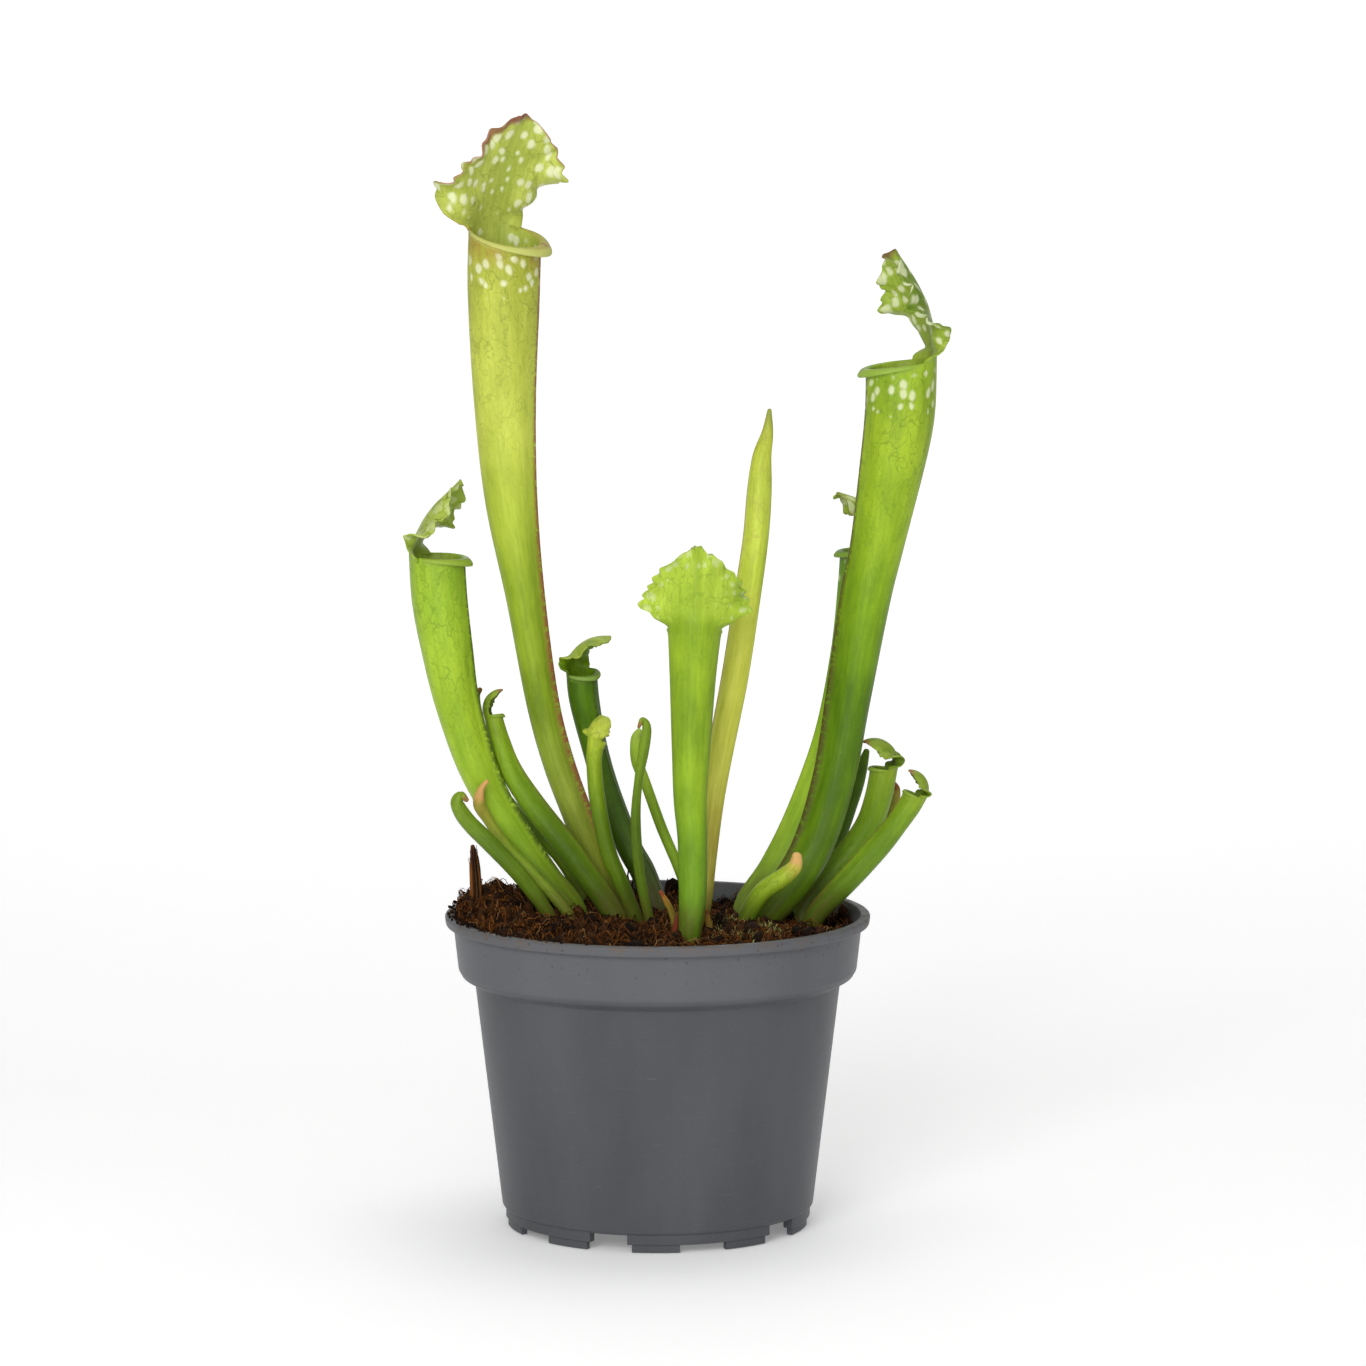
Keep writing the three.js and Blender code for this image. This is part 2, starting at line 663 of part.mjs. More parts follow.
// An open pitcher: the tube's skin, a rolled lip, the hollow inside, and the hood on the back of the rim.
function pitcher(leaf, { sides, rows, hoodRows, hoodColumns, wells }) {
  const skin = new Skin();
  const angles = ringAngles(sides);
  const count = angles.length;
  const rings = [];
  const tilt = (t) => -leaf.slope * smooth(t, 0.8, 1);
  for (let i = 0; i <= rows; i++) {
    const t = i / rows;
    const at = station(leaf, t);
    rings.push(skin.row(angles.map((a) => onSection(at, a, skinRadius(at, a), tilt(t) * Math.cos(a)))));
  }
  rings.slice(1).forEach((ring, i) => skin.join(rings[i], ring));
  const start = station(leaf, 0);
  skin.fan(rings[0], start.middle.clone().addScaledVector(start.axis, -0.3 * start.radius), true);

  // The lip rolls outwards, widest in front, and runs out where the hood begins.
  const mouth = { ...station(leaf, 1), rim: 0.5 + leaf.slope };
  const hoodStart = Math.PI - rad(leaf.hood.neck);
  const rollAt = (a) => {
    const turn = Math.min(a, TURN - a);
    const ahead = 0.5 + 0.5 * Math.cos(turn);
    return leaf.roll * mix(0.4, 1, ahead) * (1 - smooth(turn, hoodStart - 0.6, hoodStart));
  };
  const lipPoint = (a, out, up) => {
    const height = up[0] + up[1] * rollAt(a) - leaf.slope * Math.cos(a);
    return onSection(mouth, a, skinRadius(mouth, a) + out * rollAt(a), height);
  };
  const lipRow = (out, up) => skin.row(angles.map((a) => lipPoint(a, out, up)));
  const outerLip = lipRow(1, [0.2, -0.25]);
  const topLip = lipRow(0.5, [0.5, 0.3]);
  skin.join(rings[rows], outerLip);
  skin.join(outerLip, topLip);
  const innerRing = (t, shrink, up) => {
    const at = station(leaf, t);
    const out = (at.radius - LEAF_WALL) * shrink;
    return skin.row(angles.map((a) => onSection(at, a, out, up + tilt(t) * Math.cos(a))));
  };
  const innerRim = innerRing(1, 1, 0.45);
  let above = innerRim;
  for (let i = 1; i <= wells; i++) {
    const t = mix(1, leaf.hollow, i / wells);
    const below = innerRing(t, i === wells ? 0.75 : 1, 0);
    skin.join(below, above, true, true);
    above = below;
  }
  const floor = station(leaf, leaf.hollow);
  skin.fan(above, floor.middle.clone().addScaledVector(floor.axis, -0.5 * (floor.radius - LEAF_WALL)));

  // The hood: its back grows from the lip's top row and its front from the inner rim.
  const from = angles.findIndex((a) => a >= hoodStart - 0.2);
  const to = count - from;
  const backs = [topLip.slice(from, to + 1)];
  const fronts = [innerRim.slice(from, to + 1)];
  const across = (k) => mix(-1, 1, k / hoodColumns);
  const along = (i) => Math.sin((i / hoodRows) * 0.5 * Math.PI) ** 1.35;
  for (let i = 1; i <= hoodRows; i++) {
    const back = [];
    const front = [];
    for (let k = 0; k <= hoodColumns; k++) {
      const [s, w] = [along(i), across(k)];
      const at = (alongIt, acrossIt) => onHood(leaf.hood, mouth, alongIt, acrossIt);
      const p = at(s, w);
      const d = 0.02;
      const up = at(Math.min(s + d, 1), w).sub(at(Math.max(s - d, 0), w));
      const over = at(s, Math.min(w + d, 1)).sub(at(s, Math.max(w - d, -1)));
      const inward = up.cross(over).normalize();
      back.push(p);
      front.push(p.clone().addScaledVector(inward, HOOD_WALL));
    }
    backs.push(skin.row(back));
    fronts.push(skin.row(front));
  }
  [backs, fronts].forEach((sheet, side) => {
    skin.zip(sheet[0], sheet[1], side === 1);
    for (let i = 2; i <= hoodRows; i++) skin.join(sheet[i - 1], sheet[i], false, side === 1);
  });

  // The edge runs up one side of the hood, over its tip, down the other side and round the lip.
  const edgeOf = (sheet, lip) => [
    ...sheet.map((row) => row[0]),
    ...sheet[hoodRows].slice(1, -1),
    ...sheet.map((row) => row[row.length - 1]).reverse(),
    ...lip.slice(to + 1),
    ...lip.slice(0, from),
  ];
  skin.join(edgeOf(backs, topLip), edgeOf(fronts, innerRim));
  return skin.geometry();
}

// ---- Rootstock ---------------------------------------------------------------------------------------
// The lying branches of the rootstock and the thick roots below it: rows of x, y, z and radius.
const BRANCHES = [
  [
    [-32, -3, 76, 4],
    [-25, 5, ROOT_Z, 5],
    [-12, 9, ROOT_Z, 5.5],
    [0, 4, ROOT_Z, 5.5],
    [11, 0, ROOT_Z, 5],
    [28, 2, ROOT_Z, 5.5],
    [45, 5, ROOT_Z, 4.5],
  ],
  [
    [-14, 8, ROOT_Z, 4.5],
    [-18, 17, ROOT_Z, 4],
  ],
  [
    [9, 1, ROOT_Z, 4.5],
    [12, -12, ROOT_Z, 4.5],
    [9, -26, 76, 4],
    [9, -37, 76, 4],
  ],
  [
    [27, 1, ROOT_Z, 4.5],
    [25, 13, ROOT_Z, 4.5],
    [26, 25, ROOT_Z, 4.5],
  ],
  [
    [30, 4, ROOT_Z, 4.5],
    [38, 16, ROOT_Z, 4],
    [45, 22, ROOT_Z, 3.5],
  ],
];
// Each thick root starts at x and y under a branch and wanders down to its tip.
const ROOTS = [
  [-22, 5],
  [2, 3],
  [30, 3],
  [10, -26],
];
const ROOT_TIP_Z = 24;

function rootstock(grow = 0) {
  const angles = ringAngles(SIDES.root);
  const tube = (rows, lying) => {
    const stem = rows.map((row) => [...row, 0]);
    return solidOf(closedTube({ face: 0, lying, stem }, rows.length, angles, grow));
  };
  const drops = ROOTS.map(([x, y], i) =>
    [0, 1, 2, 3].map((k) => [
      x + k * (6 * chance(i, k) - 3),
      y + k * (6 * chance(k, i + 9) - 3),
      mix(ROOT_Z - 2, ROOT_TIP_Z, k / 3),
      mix(2.2, 1, k / 3),
    ]),
  );
  const tubes = [...BRANCHES.map((rows) => tube(rows, true)), ...drops.map((rows) => tube(rows, false))];
  return tubes.reduce((all, one) => all.add(one));
}

// ---- Soil --------------------------------------------------------------------------------------------
function soilHeight(x, y) {
  const heaps = HEAPS.map(([cx, cy, r, h]) => h * Math.exp(-((x - cx) ** 2 + (y - cy) ** 2) / (r * r)));
  return SOIL.level + heaps.reduce((a, b) => a + b, 0);
}

// The pot's inner wall, from the rim down: radius and height.
const potInside = [
  [POT.rimRadius - 2.7, POT.height],
  [POT.bandTop - POT.wall, POT.height - POT.flangeDepth - 0.8],
  [POT.bandBottom - POT.wall, POT.bandZ + 1.4],
  [POT.bodyTop - POT.wall, POT.bodyTopZ + 1.4],
  [POT.bodyBottom - POT.wall, POT.floorZ + POT.floorThick],
];

// The radius of the pot's inside at a height.
function insideRadius(z) {
  const k = potInside.findIndex(([, low]) => low <= z);
  if (k < 1) return potInside[0][0];
  const [[r1, z1], [r0, z0]] = [potInside[k - 1], potInside[k]];
  return mix(r0, r1, (z - z0) / (z1 - z0));
}

function soilBody() {
  const skin = new Skin();
  const ringAt = (radius, heightAt) => {
    const points = [];
    for (let i = 0; i < SOIL.sectors; i++) {
      const a = (i / SOIL.sectors) * TURN;
      const [x, y] = [radius * Math.cos(a), radius * Math.sin(a)];
      points.push(vec(x, y, heightAt(x, y, i)));
    }
    return skin.row(points);
  };
  const lumpy = (ring) => (x, y, i) => soilHeight(x, y) + SOIL.lump * (2 * chance(i, ring) - 1);
  const edge = ringAt(SOIL.edge, lumpy(0));
  for (const k of edge) {
    const p = skin.points[k];
    p.z = Math.min(p.z - 0.6, POT.height + 1.5);
    const room = insideRadius(p.z) * Math.cos(Math.PI / POT.sides) - GAP - 0.1;
    p.multiply(vec(room / SOIL.edge, room / SOIL.edge, 1));
  }
  const low = potInside.slice(2).map(([r, z]) => {
    const height = z > POT.floorZ + 10 ? z : z + GAP;
    return ringAt(r * Math.cos(Math.PI / POT.sides) - GAP - 0.1, () => height);
  });
  const rings = [...low.reverse(), edge];
  rings.slice(1).forEach((ring, i) => skin.join(rings[i], ring));
  skin.fan(rings[0], vec(0, 0, POT.floorZ + POT.floorThick + GAP), true);
  let outer = edge;
  [...SOIL.rings].reverse().forEach((radius, k) => {
    const ring = ringAt(radius, lumpy(k + 1));
    skin.join(outer, ring);
    outer = ring;
  });
  skin.fan(outer, vec(0, 0, soilHeight(0, 0)));
  return solidOf(skin.geometry());
}

// ---- Pot ---------------------------------------------------------------------------------------------
// A profile of radius and height turned round the pot's axis.
function turned(profile, sides = POT.sides) {
  const g = new THREE.LatheGeometry(profile.map(([r, z]) => new THREE.Vector2(r, z)), sides);
  return g.rotateX(Math.PI / 2);
}

// A slab with the outline of an arc of a ring, standing from one height to another. Its middle is turned
// from the front of the pot by the given degrees, anticlockwise seen from above.
function ringSlab(inner, outer, middle, span, low, high) {
  const from = rad(middle - span / 2 - 90);
  const to = rad(middle + span / 2 - 90);
  const outline = new THREE.Shape();
  outline.absarc(0, 0, outer, from, to, false);
  outline.absarc(0, 0, inner, to, from, true);
  const segments = Math.max(2, Math.round(span / 12));
  const style = { depth: high - low, bevelEnabled: false, curveSegments: segments };
  return solidOf(new THREE.ExtrudeGeometry(outline, style).translate(0, 0, low));
}

function potBody() {
  const outside = [
    [POT.bodyBottom - 1, POT.floorZ],
    [POT.bodyBottom, POT.floorZ + 0.8],
    [POT.bodyTop, POT.bodyTopZ],
    [POT.bandBottom - 1, POT.bandZ - 1.8],
    [POT.bandBottom, POT.bandZ],
    [POT.bandTop, POT.height - POT.flangeDepth],
    [POT.rimRadius - 0.3, POT.height - POT.flangeDepth + 0.2],
    [POT.rimRadius, POT.height - 0.5],
    [POT.rimRadius - 0.5, POT.height],
  ];
  const floorTop = [0, POT.floorZ + POT.floorThick];
  let body = solidOf(turned([[0, POT.floorZ], ...outside, ...potInside, floorTop]));
  const sunk = 0.4; // how far the foot runs up into the floor so that the two become one piece
  for (let i = 0; i < FOOT.arcs; i++) {
    const middle = FOOT.firstArc + (i * 360) / FOOT.arcs;
    const top = POT.floorZ + sunk;
    body = body.add(ringSlab(FOOT.inner, FOOT.outer, middle, FOOT.arcSpan, FOOT.underside, top));
    for (const turn of [-FOOT.padTurn, FOOT.padTurn]) {
      const [from, to] = [FOOT.inner + 0.5, FOOT.outer - 0.5];
      body = body.add(ringSlab(from, to, middle + turn, FOOT.padSpan, 0, FOOT.underside + sunk));
    }
    const a = rad(middle + 180 / FOOT.arcs - 90);
    const drain = turned([[0, 0], [FOOT.drainRadius, 0], [FOOT.drainRadius, 10], [0, 10]], 12);
    drain.translate(FOOT.drainRing * Math.cos(a), FOOT.drainRing * Math.sin(a), 0);
    body = body.subtract(solidOf(drain));
  }
  return body;
}

// ---- Assembly ----------------------------------------------------------------------------------------
const BIG = { sides: SIDES.big, rows: 11, hoodRows: 8, hoodColumns: 12, wells: 4 };
const SMALL = { sides: SIDES.small, rows: 8, hoodRows: 4, hoodColumns: 6, wells: 2 };
const isBig = (leaf) => leaf.hood.half > 6.5;

// The number of rings along a leaf's stem.
function ringsOf(leaf) {
  if (!leaf.hood) return leaf.stem.length + 1;
  return isBig(leaf) ? BIG.rows : SMALL.rows;
}

// A stem's lower end, a little thicker than the leaf, on the same rings up to the first above the soil.
function stemRoom(leaf) {
  const rows = ringsOf(leaf);
  const isBuried = ({ middle }) => middle.z < soilHeight(middle.x, middle.y) + STEM_CLEAR;
  let steps = 1;
  while (steps < rows && isBuried(station(leaf, steps / rows))) steps += 1;
  const angles = ringAngles(leaf.hood ? SIDES.stem : SIDES.closed);
  return solidOf(closedTube(leaf, steps, angles, GAP + STEM_ROOM * leaf.stem[1][3], steps / rows));
}

let roots = rootstock();
let soil = soilBody().subtract(rootstock(GAP));
for (const [name, leaf] of Object.entries(LEAVES)) {
  const closed = () => closedTube(leaf, ringsOf(leaf), ringAngles(SIDES.closed));
  addPiece(name, leaf.hood ? pitcher(leaf, isBig(leaf) ? BIG : SMALL) : closed(), FINISH[leaf.colour]);
  soil = soil.subtract(stemRoom(leaf));
  roots = roots.subtract(stemRoom(leaf));
}
addPiece("rhizome", geometryOf(roots), FINISH.root);
addPiece("soil", geometryOf(soil), FINISH.peat);
addPiece("pot", geometryOf(potBody()), FINISH.plastic);

const box = new THREE.Box3().setFromObject(plant, true);
const middle = box.getCenter(vec(0, 0, 0));
plant.position.set(-middle.x, -middle.y, -box.min.z);

export default plant;
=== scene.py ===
# %% [markdown]
# # A potted pitcher plant, dressed for its portrait
#
# The solid model of this plant already exists and arrives here as a fixed frame. This lesson replaces its
# plain solids with fine surfaces, gives each one a procedural material, and sets up the light and the
# camera. Lengths are in millimetres round the pot's axis until a mesh is made, and metres from there on.

# %% Load the solid model
import math

import bpy
import numpy as np
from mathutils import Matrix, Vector, noise
from mathutils.geometry import tessellate_polygon


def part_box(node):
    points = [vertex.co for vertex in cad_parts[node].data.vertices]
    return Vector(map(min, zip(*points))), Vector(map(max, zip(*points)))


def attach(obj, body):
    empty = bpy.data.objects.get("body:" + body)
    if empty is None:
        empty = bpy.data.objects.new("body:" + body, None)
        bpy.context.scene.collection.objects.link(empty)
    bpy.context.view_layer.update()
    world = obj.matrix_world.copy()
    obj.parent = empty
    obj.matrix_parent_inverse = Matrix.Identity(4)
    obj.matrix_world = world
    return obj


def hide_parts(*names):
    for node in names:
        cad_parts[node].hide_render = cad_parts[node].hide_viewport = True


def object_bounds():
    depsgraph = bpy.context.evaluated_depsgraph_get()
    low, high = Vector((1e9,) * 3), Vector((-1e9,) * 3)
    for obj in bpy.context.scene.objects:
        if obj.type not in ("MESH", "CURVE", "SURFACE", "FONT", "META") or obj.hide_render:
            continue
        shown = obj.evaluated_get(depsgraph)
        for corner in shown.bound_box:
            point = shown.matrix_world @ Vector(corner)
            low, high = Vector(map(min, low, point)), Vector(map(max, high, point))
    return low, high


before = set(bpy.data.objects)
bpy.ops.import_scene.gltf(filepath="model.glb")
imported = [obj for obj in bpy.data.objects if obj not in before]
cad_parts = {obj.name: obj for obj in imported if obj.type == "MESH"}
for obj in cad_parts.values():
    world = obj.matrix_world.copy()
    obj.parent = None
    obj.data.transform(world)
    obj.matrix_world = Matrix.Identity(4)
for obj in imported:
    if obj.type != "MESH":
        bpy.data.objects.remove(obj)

CAD_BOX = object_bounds()
MM = 0.001  # a millimetre in the frame's metres
pot_low, pot_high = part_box("pot")
AXIS = np.array([(pot_low.x + pot_high.x) / 2, (pot_low.y + pot_high.y) / 2, 0.0])
scene = bpy.context.scene
print("nodes:", len(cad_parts), " pot axis at", [round(v / MM, 2) for v in AXIS])

# %% [markdown]
# ## One helper for shader nodes
#
# A procedural material is a graph of small nodes: patterns, sums and mixes that end in the surface shader.
# It could be wired by hand in the shader editor, but then it can't be repeated for nineteen kinds of leaf.
# So one function adds a node with its settings and links, and gives back its output for the next node.

# %% Colours and nodes
def linear(code):
    """An sRGB hex colour as the linear colour that a shader wants."""
    parts = [int(code[i : i + 2], 16) / 255 for i in (1, 3, 5)]
    return [c / 12.92 if c <= 0.04045 else ((c + 0.055) / 1.055) ** 2.4 for c in parts] + [1.0]


def scale_for(size, unit=1.0):
    """The scale, to two figures, of a pattern with features of that many millimetres in its space."""
    return float(f"{1 / (size * unit):.2g}")


def new_material(name):
    """A new material, and the tree that its nodes go into."""
    material = bpy.data.materials.new(name)
    material.use_nodes = True
    return material, material.node_tree


def wire(tree, node, inputs):
    """Gives a node its inputs, in order or by key: each is a plain value or another node's output."""
    for key, value in inputs.items() if isinstance(inputs, dict) else enumerate(inputs):
        if isinstance(value, bpy.types.NodeSocket):
            tree.links.new(value, node.inputs[key])
        else:
            node.inputs[key].default_value = value


def add(tree, kind, inputs, out=0, stops=(), **settings):
    """A new shader node with its settings and links; stops are for a colour ramp. Gives one output."""
    node = tree.nodes.new("ShaderNode" + kind)
    for key, value in settings.items():
        setattr(node, key, value)
    if stops:
        marks = node.color_ramp.elements
        while len(marks) < len(stops):
            marks.new(0.5)
        for mark, (position, code) in zip(marks, stops):
            mark.position = position
            mark.color = linear(code)
    wire(tree, node, inputs)
    return node.outputs[out]


# Settings that come back often. SOFT is 0 at the first bound, 1 at the second and rises smoothly between,
# and the first bound may be the larger one. COLOUR mixes input 6 with input 7 by the share in input 0.
SOFT = {"interpolation_type": "SMOOTHSTEP"}
TIMES, PLUS, MINUS = ({"operation": name} for name in ("MULTIPLY", "ADD", "SUBTRACT"))
COLOUR = {"data_type": "RGBA", "out": 2}


def coated(tree, colour, coats):
    """A colour under thin coats: the share of each that shows, and its hex colour. 0.0 is no coat."""
    for share, code in coats:
        if share != 0.0:
            colour = add(tree, "Mix", {0: share, 6: colour, 7: linear(code)}, **COLOUR)
    return colour


print("the hex grey #808080 is", round(linear("#808080")[0], 3), "in linear light")

# %% [markdown]
# ## The camera
#
# The camera stands where the photograph was taken from: a little above the rim, far away, with a long lens.
# A short lens close by could frame the plant too, but it would spread the tall leaves apart. The lens
# follows from its focal length in pixels, so the picture keeps the photograph's own frame.

# %% The camera
CAMERA_AT = (0.0, -1584.5, 347.3)
CAMERA_AIM = (7.16, 0.0, 153.7)
FOCAL_PIXELS = 5684.7
FRAME_PIXELS = 1366  # the width and height of the picture
SENSOR = 36.0  # millimetres
SIGHT = 20  # how far the camera sees, in metres


def in_metres(point):
    """A point in millimetres round the pot's axis, in the frame's metres."""
    return Vector(np.array(point) * MM + AXIS)


def look_from(thing, place, aim):
    """Puts a camera or a light in the scene, at a place and aimed at a point."""
    thing.location = in_metres(place)
    thing.rotation_euler = (in_metres(aim) - in_metres(place)).to_track_quat("-Z", "Y").to_euler()
    scene.collection.objects.link(thing)


lens = bpy.data.cameras.new("portrait_lens")
lens.sensor_width = SENSOR
lens.lens = FOCAL_PIXELS * SENSOR / FRAME_PIXELS
lens.clip_end = SIGHT
camera = bpy.data.objects.new("camera", lens)
look_from(camera, CAMERA_AT, CAMERA_AIM)
scene.camera = camera
print("camera lens", round(lens.lens, 1), "mm")

# %% [markdown]
# ## The room and its lights
#
# A bright room all round gives the soft shading and the white background of a studio picture. It could be
# one even colour, but then the round pot looks flat, so the room is darker at both sides. Four square
# panels stand for a window, its weak answer from the right, a light above and some fill from the front.

# %% The room and its lights
SIDE_FROM, SIDE_TO = 0.35, 0.9  # where the room begins and ends to darken sideways, as a share of 1
ROOM_BRIGHT, ROOM_DARK = 0.54, 0.18
PLANT_MIDDLE = (0, 0, 140)

room = bpy.data.worlds.new("bright_room")
room.use_nodes = True
scene.world = room
sky = room.node_tree
direction = add(sky, "TexCoord", (), out="Generated")
sideways = add(sky, "SeparateXYZ", (direction,), out="X")
sideways = add(sky, "Math", (sideways, 0.0), operation="ABSOLUTE")
glow = add(sky, "MapRange", (sideways, SIDE_FROM, SIDE_TO, ROOM_BRIGHT, ROOM_DARK))
wire(sky, sky.nodes["Background"], {"Color": linear("#ffffff"), "Strength": glow})
scene.view_settings.view_transform = "Standard"


def panel(name, place, size, power):
    """A square soft light in millimetres and watts, aimed at the plant."""
    light = bpy.data.lights.new(name, "AREA")
    light.size = size * MM
    light.energy = power
    look_from(bpy.data.objects.new(name, light), place, PLANT_MIDDLE)


panel("window_left", (-330, -1250, 700), 600, 9)
panel("window_right", (900, -700, 500), 600, 0.5)
panel("top_light", (100, 200, 1100), 600, 2.6)
panel("front_fill", (0, -1500, 260), 800, 3)
print("lights:", len(bpy.data.lights))

# %% [markdown]
# ## The paper
#
# The plant stands on a roll of pale paper that runs back and sweeps up behind it. A flat floor and a wall
# would be simpler, but the line between them would show. A dark pot on plain paper leaves grey round its
# foot, so the paper glows a little, and more at the back.

# %% The paper
PAPER_FRONT, PAPER_BACK, PAPER_SIDE, PAPER_TOP = -3.5, 1.2, 4.0, 4.5  # metres from the pot
SWEEP = 1.2  # radius of the paper's curve, in metres
PAPER_DROP = 0.0002  # metres below the pot's pads, so that the two faces don't fight

floor_paint, tree = new_material("pale_floor")
on_floor = add(tree, "SeparateXYZ", (add(tree, "TexCoord", (), out="Object"),)).node.outputs
shine_back = add(tree, "MapRange", (on_floor["Y"], 0.2, 1.2, 0.2, 0.5))
away = add(tree, "Math", (on_floor["X"], 0.0), operation="ABSOLUTE")
near = add(tree, "MapRange", (away, 1.1, 0.5), **SOFT)
shine_back = add(tree, "Math", (shine_back, near), **TIMES)
wire(tree, tree.nodes["Principled BSDF"], {
    "Base Color": linear("#f4f4f4"), "Roughness": 0.8, "Emission Color": linear("#ffffff"),
    "Emission Strength": shine_back,
})
curve = np.radians(range(6, 91, 6))
side_view = [(PAPER_FRONT, 0.0), (PAPER_BACK, 0.0)]
side_view += [(PAPER_BACK + SWEEP * math.sin(q), SWEEP - SWEEP * math.cos(q)) for q in curve]
side_view += [(PAPER_BACK + SWEEP, PAPER_TOP)]
corners = [(x, y, z) for y, z in side_view for x in (-PAPER_SIDE, PAPER_SIDE)]
strips = [(2 * i, 2 * i + 1, 2 * i + 3, 2 * i + 2) for i in range(len(side_view) - 1)]
floor_mesh = bpy.data.meshes.new("floor")
floor_mesh.from_pydata(corners, [], strips)
floor_mesh.polygons.foreach_set("use_smooth", [True] * len(floor_mesh.polygons))
floor_mesh.materials.append(floor_paint)
floor = bpy.data.objects.new("floor", floor_mesh)
floor.location.z = -PAPER_DROP
scene.collection.objects.link(floor)
print("strips of paper:", len(strips))

# %% [markdown]
# ## Surfaces as skins
#
# A leaf could be sculpted, or bent from a cylinder with modifiers, but here each ring has to follow the
# solid model's numbers. So every fine surface is a skin: rows of points stitched together. Each point also
# carries what its material needs, such as its place on the leaf laid out straight, in millimetres.

# %% Skins
class Skin:
    """Rows of points with their layers of numbers, and the faces between them."""

    def __init__(self):
        self.points = []
        self.layers = {}
        self.faces = []
        self.count = 0

    def row(self, points, **layers):
        """One more row of points and the numbers that they carry; gives the points' ids."""
        points = np.asarray(points, float).reshape(-1, 3)
        ids = np.arange(self.count, self.count + len(points))
        self.count += len(points)
        self.points.append(points)
        for key, values in layers.items():
            values = np.broadcast_to(np.asarray(values, float), (len(points), 3))
            self.layers.setdefault(key, []).append(values)
        return ids

    def join(self, low, high, closed=True, flip=False):
        """The faces between two rows of the same length."""
        a, b = (low, np.roll(low, -1)) if closed else (low[:-1], low[1:])
        d, c = (high, np.roll(high, -1)) if closed else (high[:-1], high[1:])
        quads = np.stack([a, d, c, b] if flip else [a, b, c, d], axis=1)
        self.faces.extend(quads.tolist())

    def fan(self, ring, middle, flip=False):
        """The faces from a ring to one point."""
        for a, b in zip(ring.tolist(), np.roll(ring, -1).tolist()):
            self.faces.append((b, a, int(middle)) if flip else (a, b, int(middle)))

    def piece(self, name, material, slot, nodes=()):
        """The finished skin as a piece of the plant."""
        layers = {key: np.concatenate(values) for key, values in self.layers.items()}
        return make_piece(name, np.concatenate(self.points), self.faces, material, nodes, layers)

# %% [markdown]
# ## From points to a piece of the plant
#
# A piece is a smooth mesh that rides on the plant's only body and may stand for solids, which then hide.
# Real frills have no exact end, and a few would pass the solid model's box. Cutting them off would leave a
# flat edge, so their outermost millimetres are eased back instead.

# %% Pieces of the plant
SOFT_REACH = 7.0  # the outermost millimetres in which a frill is drawn in
JUST_INSIDE = 0.01  # millimetres inside the box at which it then ends


def drawn_in(points):
    """The points, with a frill that passes the solid model's box eased back to end just at it."""
    points = np.array(points, float)
    low, high = ((np.array(corner) - AXIS) / MM for corner in CAD_BOX)
    for k, sign, limit in ((0, 1, high[0]), (0, -1, -low[0]), (2, 1, high[2])):
        past = np.maximum(sign * points[:, k] - (limit - SOFT_REACH), 0)
        most = past.max()
        if most > SOFT_REACH:
            points[:, k] -= sign * (most - SOFT_REACH + JUST_INSIDE) * (past / most) ** 2
    return points


def make_piece(name, points, faces, material, nodes=(), layers=None):
    """A smooth mesh that rides on the plant and stands for the named solids."""
    mesh = bpy.data.meshes.new(name)
    mesh.from_pydata((np.asarray(points) * MM + AXIS).tolist(), [], faces)
    for key, values in (layers or {}).items():
        layer = mesh.attributes.new(key, "FLOAT_VECTOR", "POINT")
        layer.data.foreach_set("vector", np.asarray(values, np.float32).ravel())
    mesh.polygons.foreach_set("use_smooth", [True] * len(mesh.polygons))
    mesh.materials.append(material)
    mesh.update()
    piece = bpy.data.objects.new(name, mesh)
    scene.collection.objects.link(piece)
    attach(piece, "root")
    if nodes:
        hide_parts(*nodes)
    return piece
# %% Sums that come back
def mix(a, b, share):
    """From a at a share of 0 to b at 1."""
    return a + (b - a) * share


def smooth(value, low, high):
    """0 up to low, 1 from high on, and an even rise between."""
    share = np.clip((np.asarray(value, float) - low) / (high - low), 0, 1)
    return share * share * (3 - 2 * share)


def unit(rows):
    """Directions with a length of 1."""
    return rows / np.linalg.norm(rows, axis=-1, keepdims=True)


def blend_rows(rows, t):
    """Rows of numbers blended smoothly: t runs from 0 at the first row to 1 at the last."""
    rows = np.asarray(rows, float)
    last = len(rows) - 1
    x = np.clip(np.asarray(t, float), 0, 1) * last
    i = np.minimum(x.astype(int), last - 1)
    f = (x - i)[:, None]
    a, b, c, d = (rows[np.clip(i + k, 0, last)] for k in (-1, 0, 1, 2))
    return b + 0.5 * f * (c - a + f * (2 * a - 5 * b + 4 * c - d + f * (3 * (b - c) + d - a)))

print("half way from 0 to 10:", blend_rows([[0], [10]], [0.5])[0, 0])

# %% [markdown]
# ## The leaves
#
# The table repeats the solid model's leaves. A stem row is x, y, z of the leaf's middle line, the tube's
# radius, and how far the keel stands out. A hood is a blade that grows from the back of the mouth.

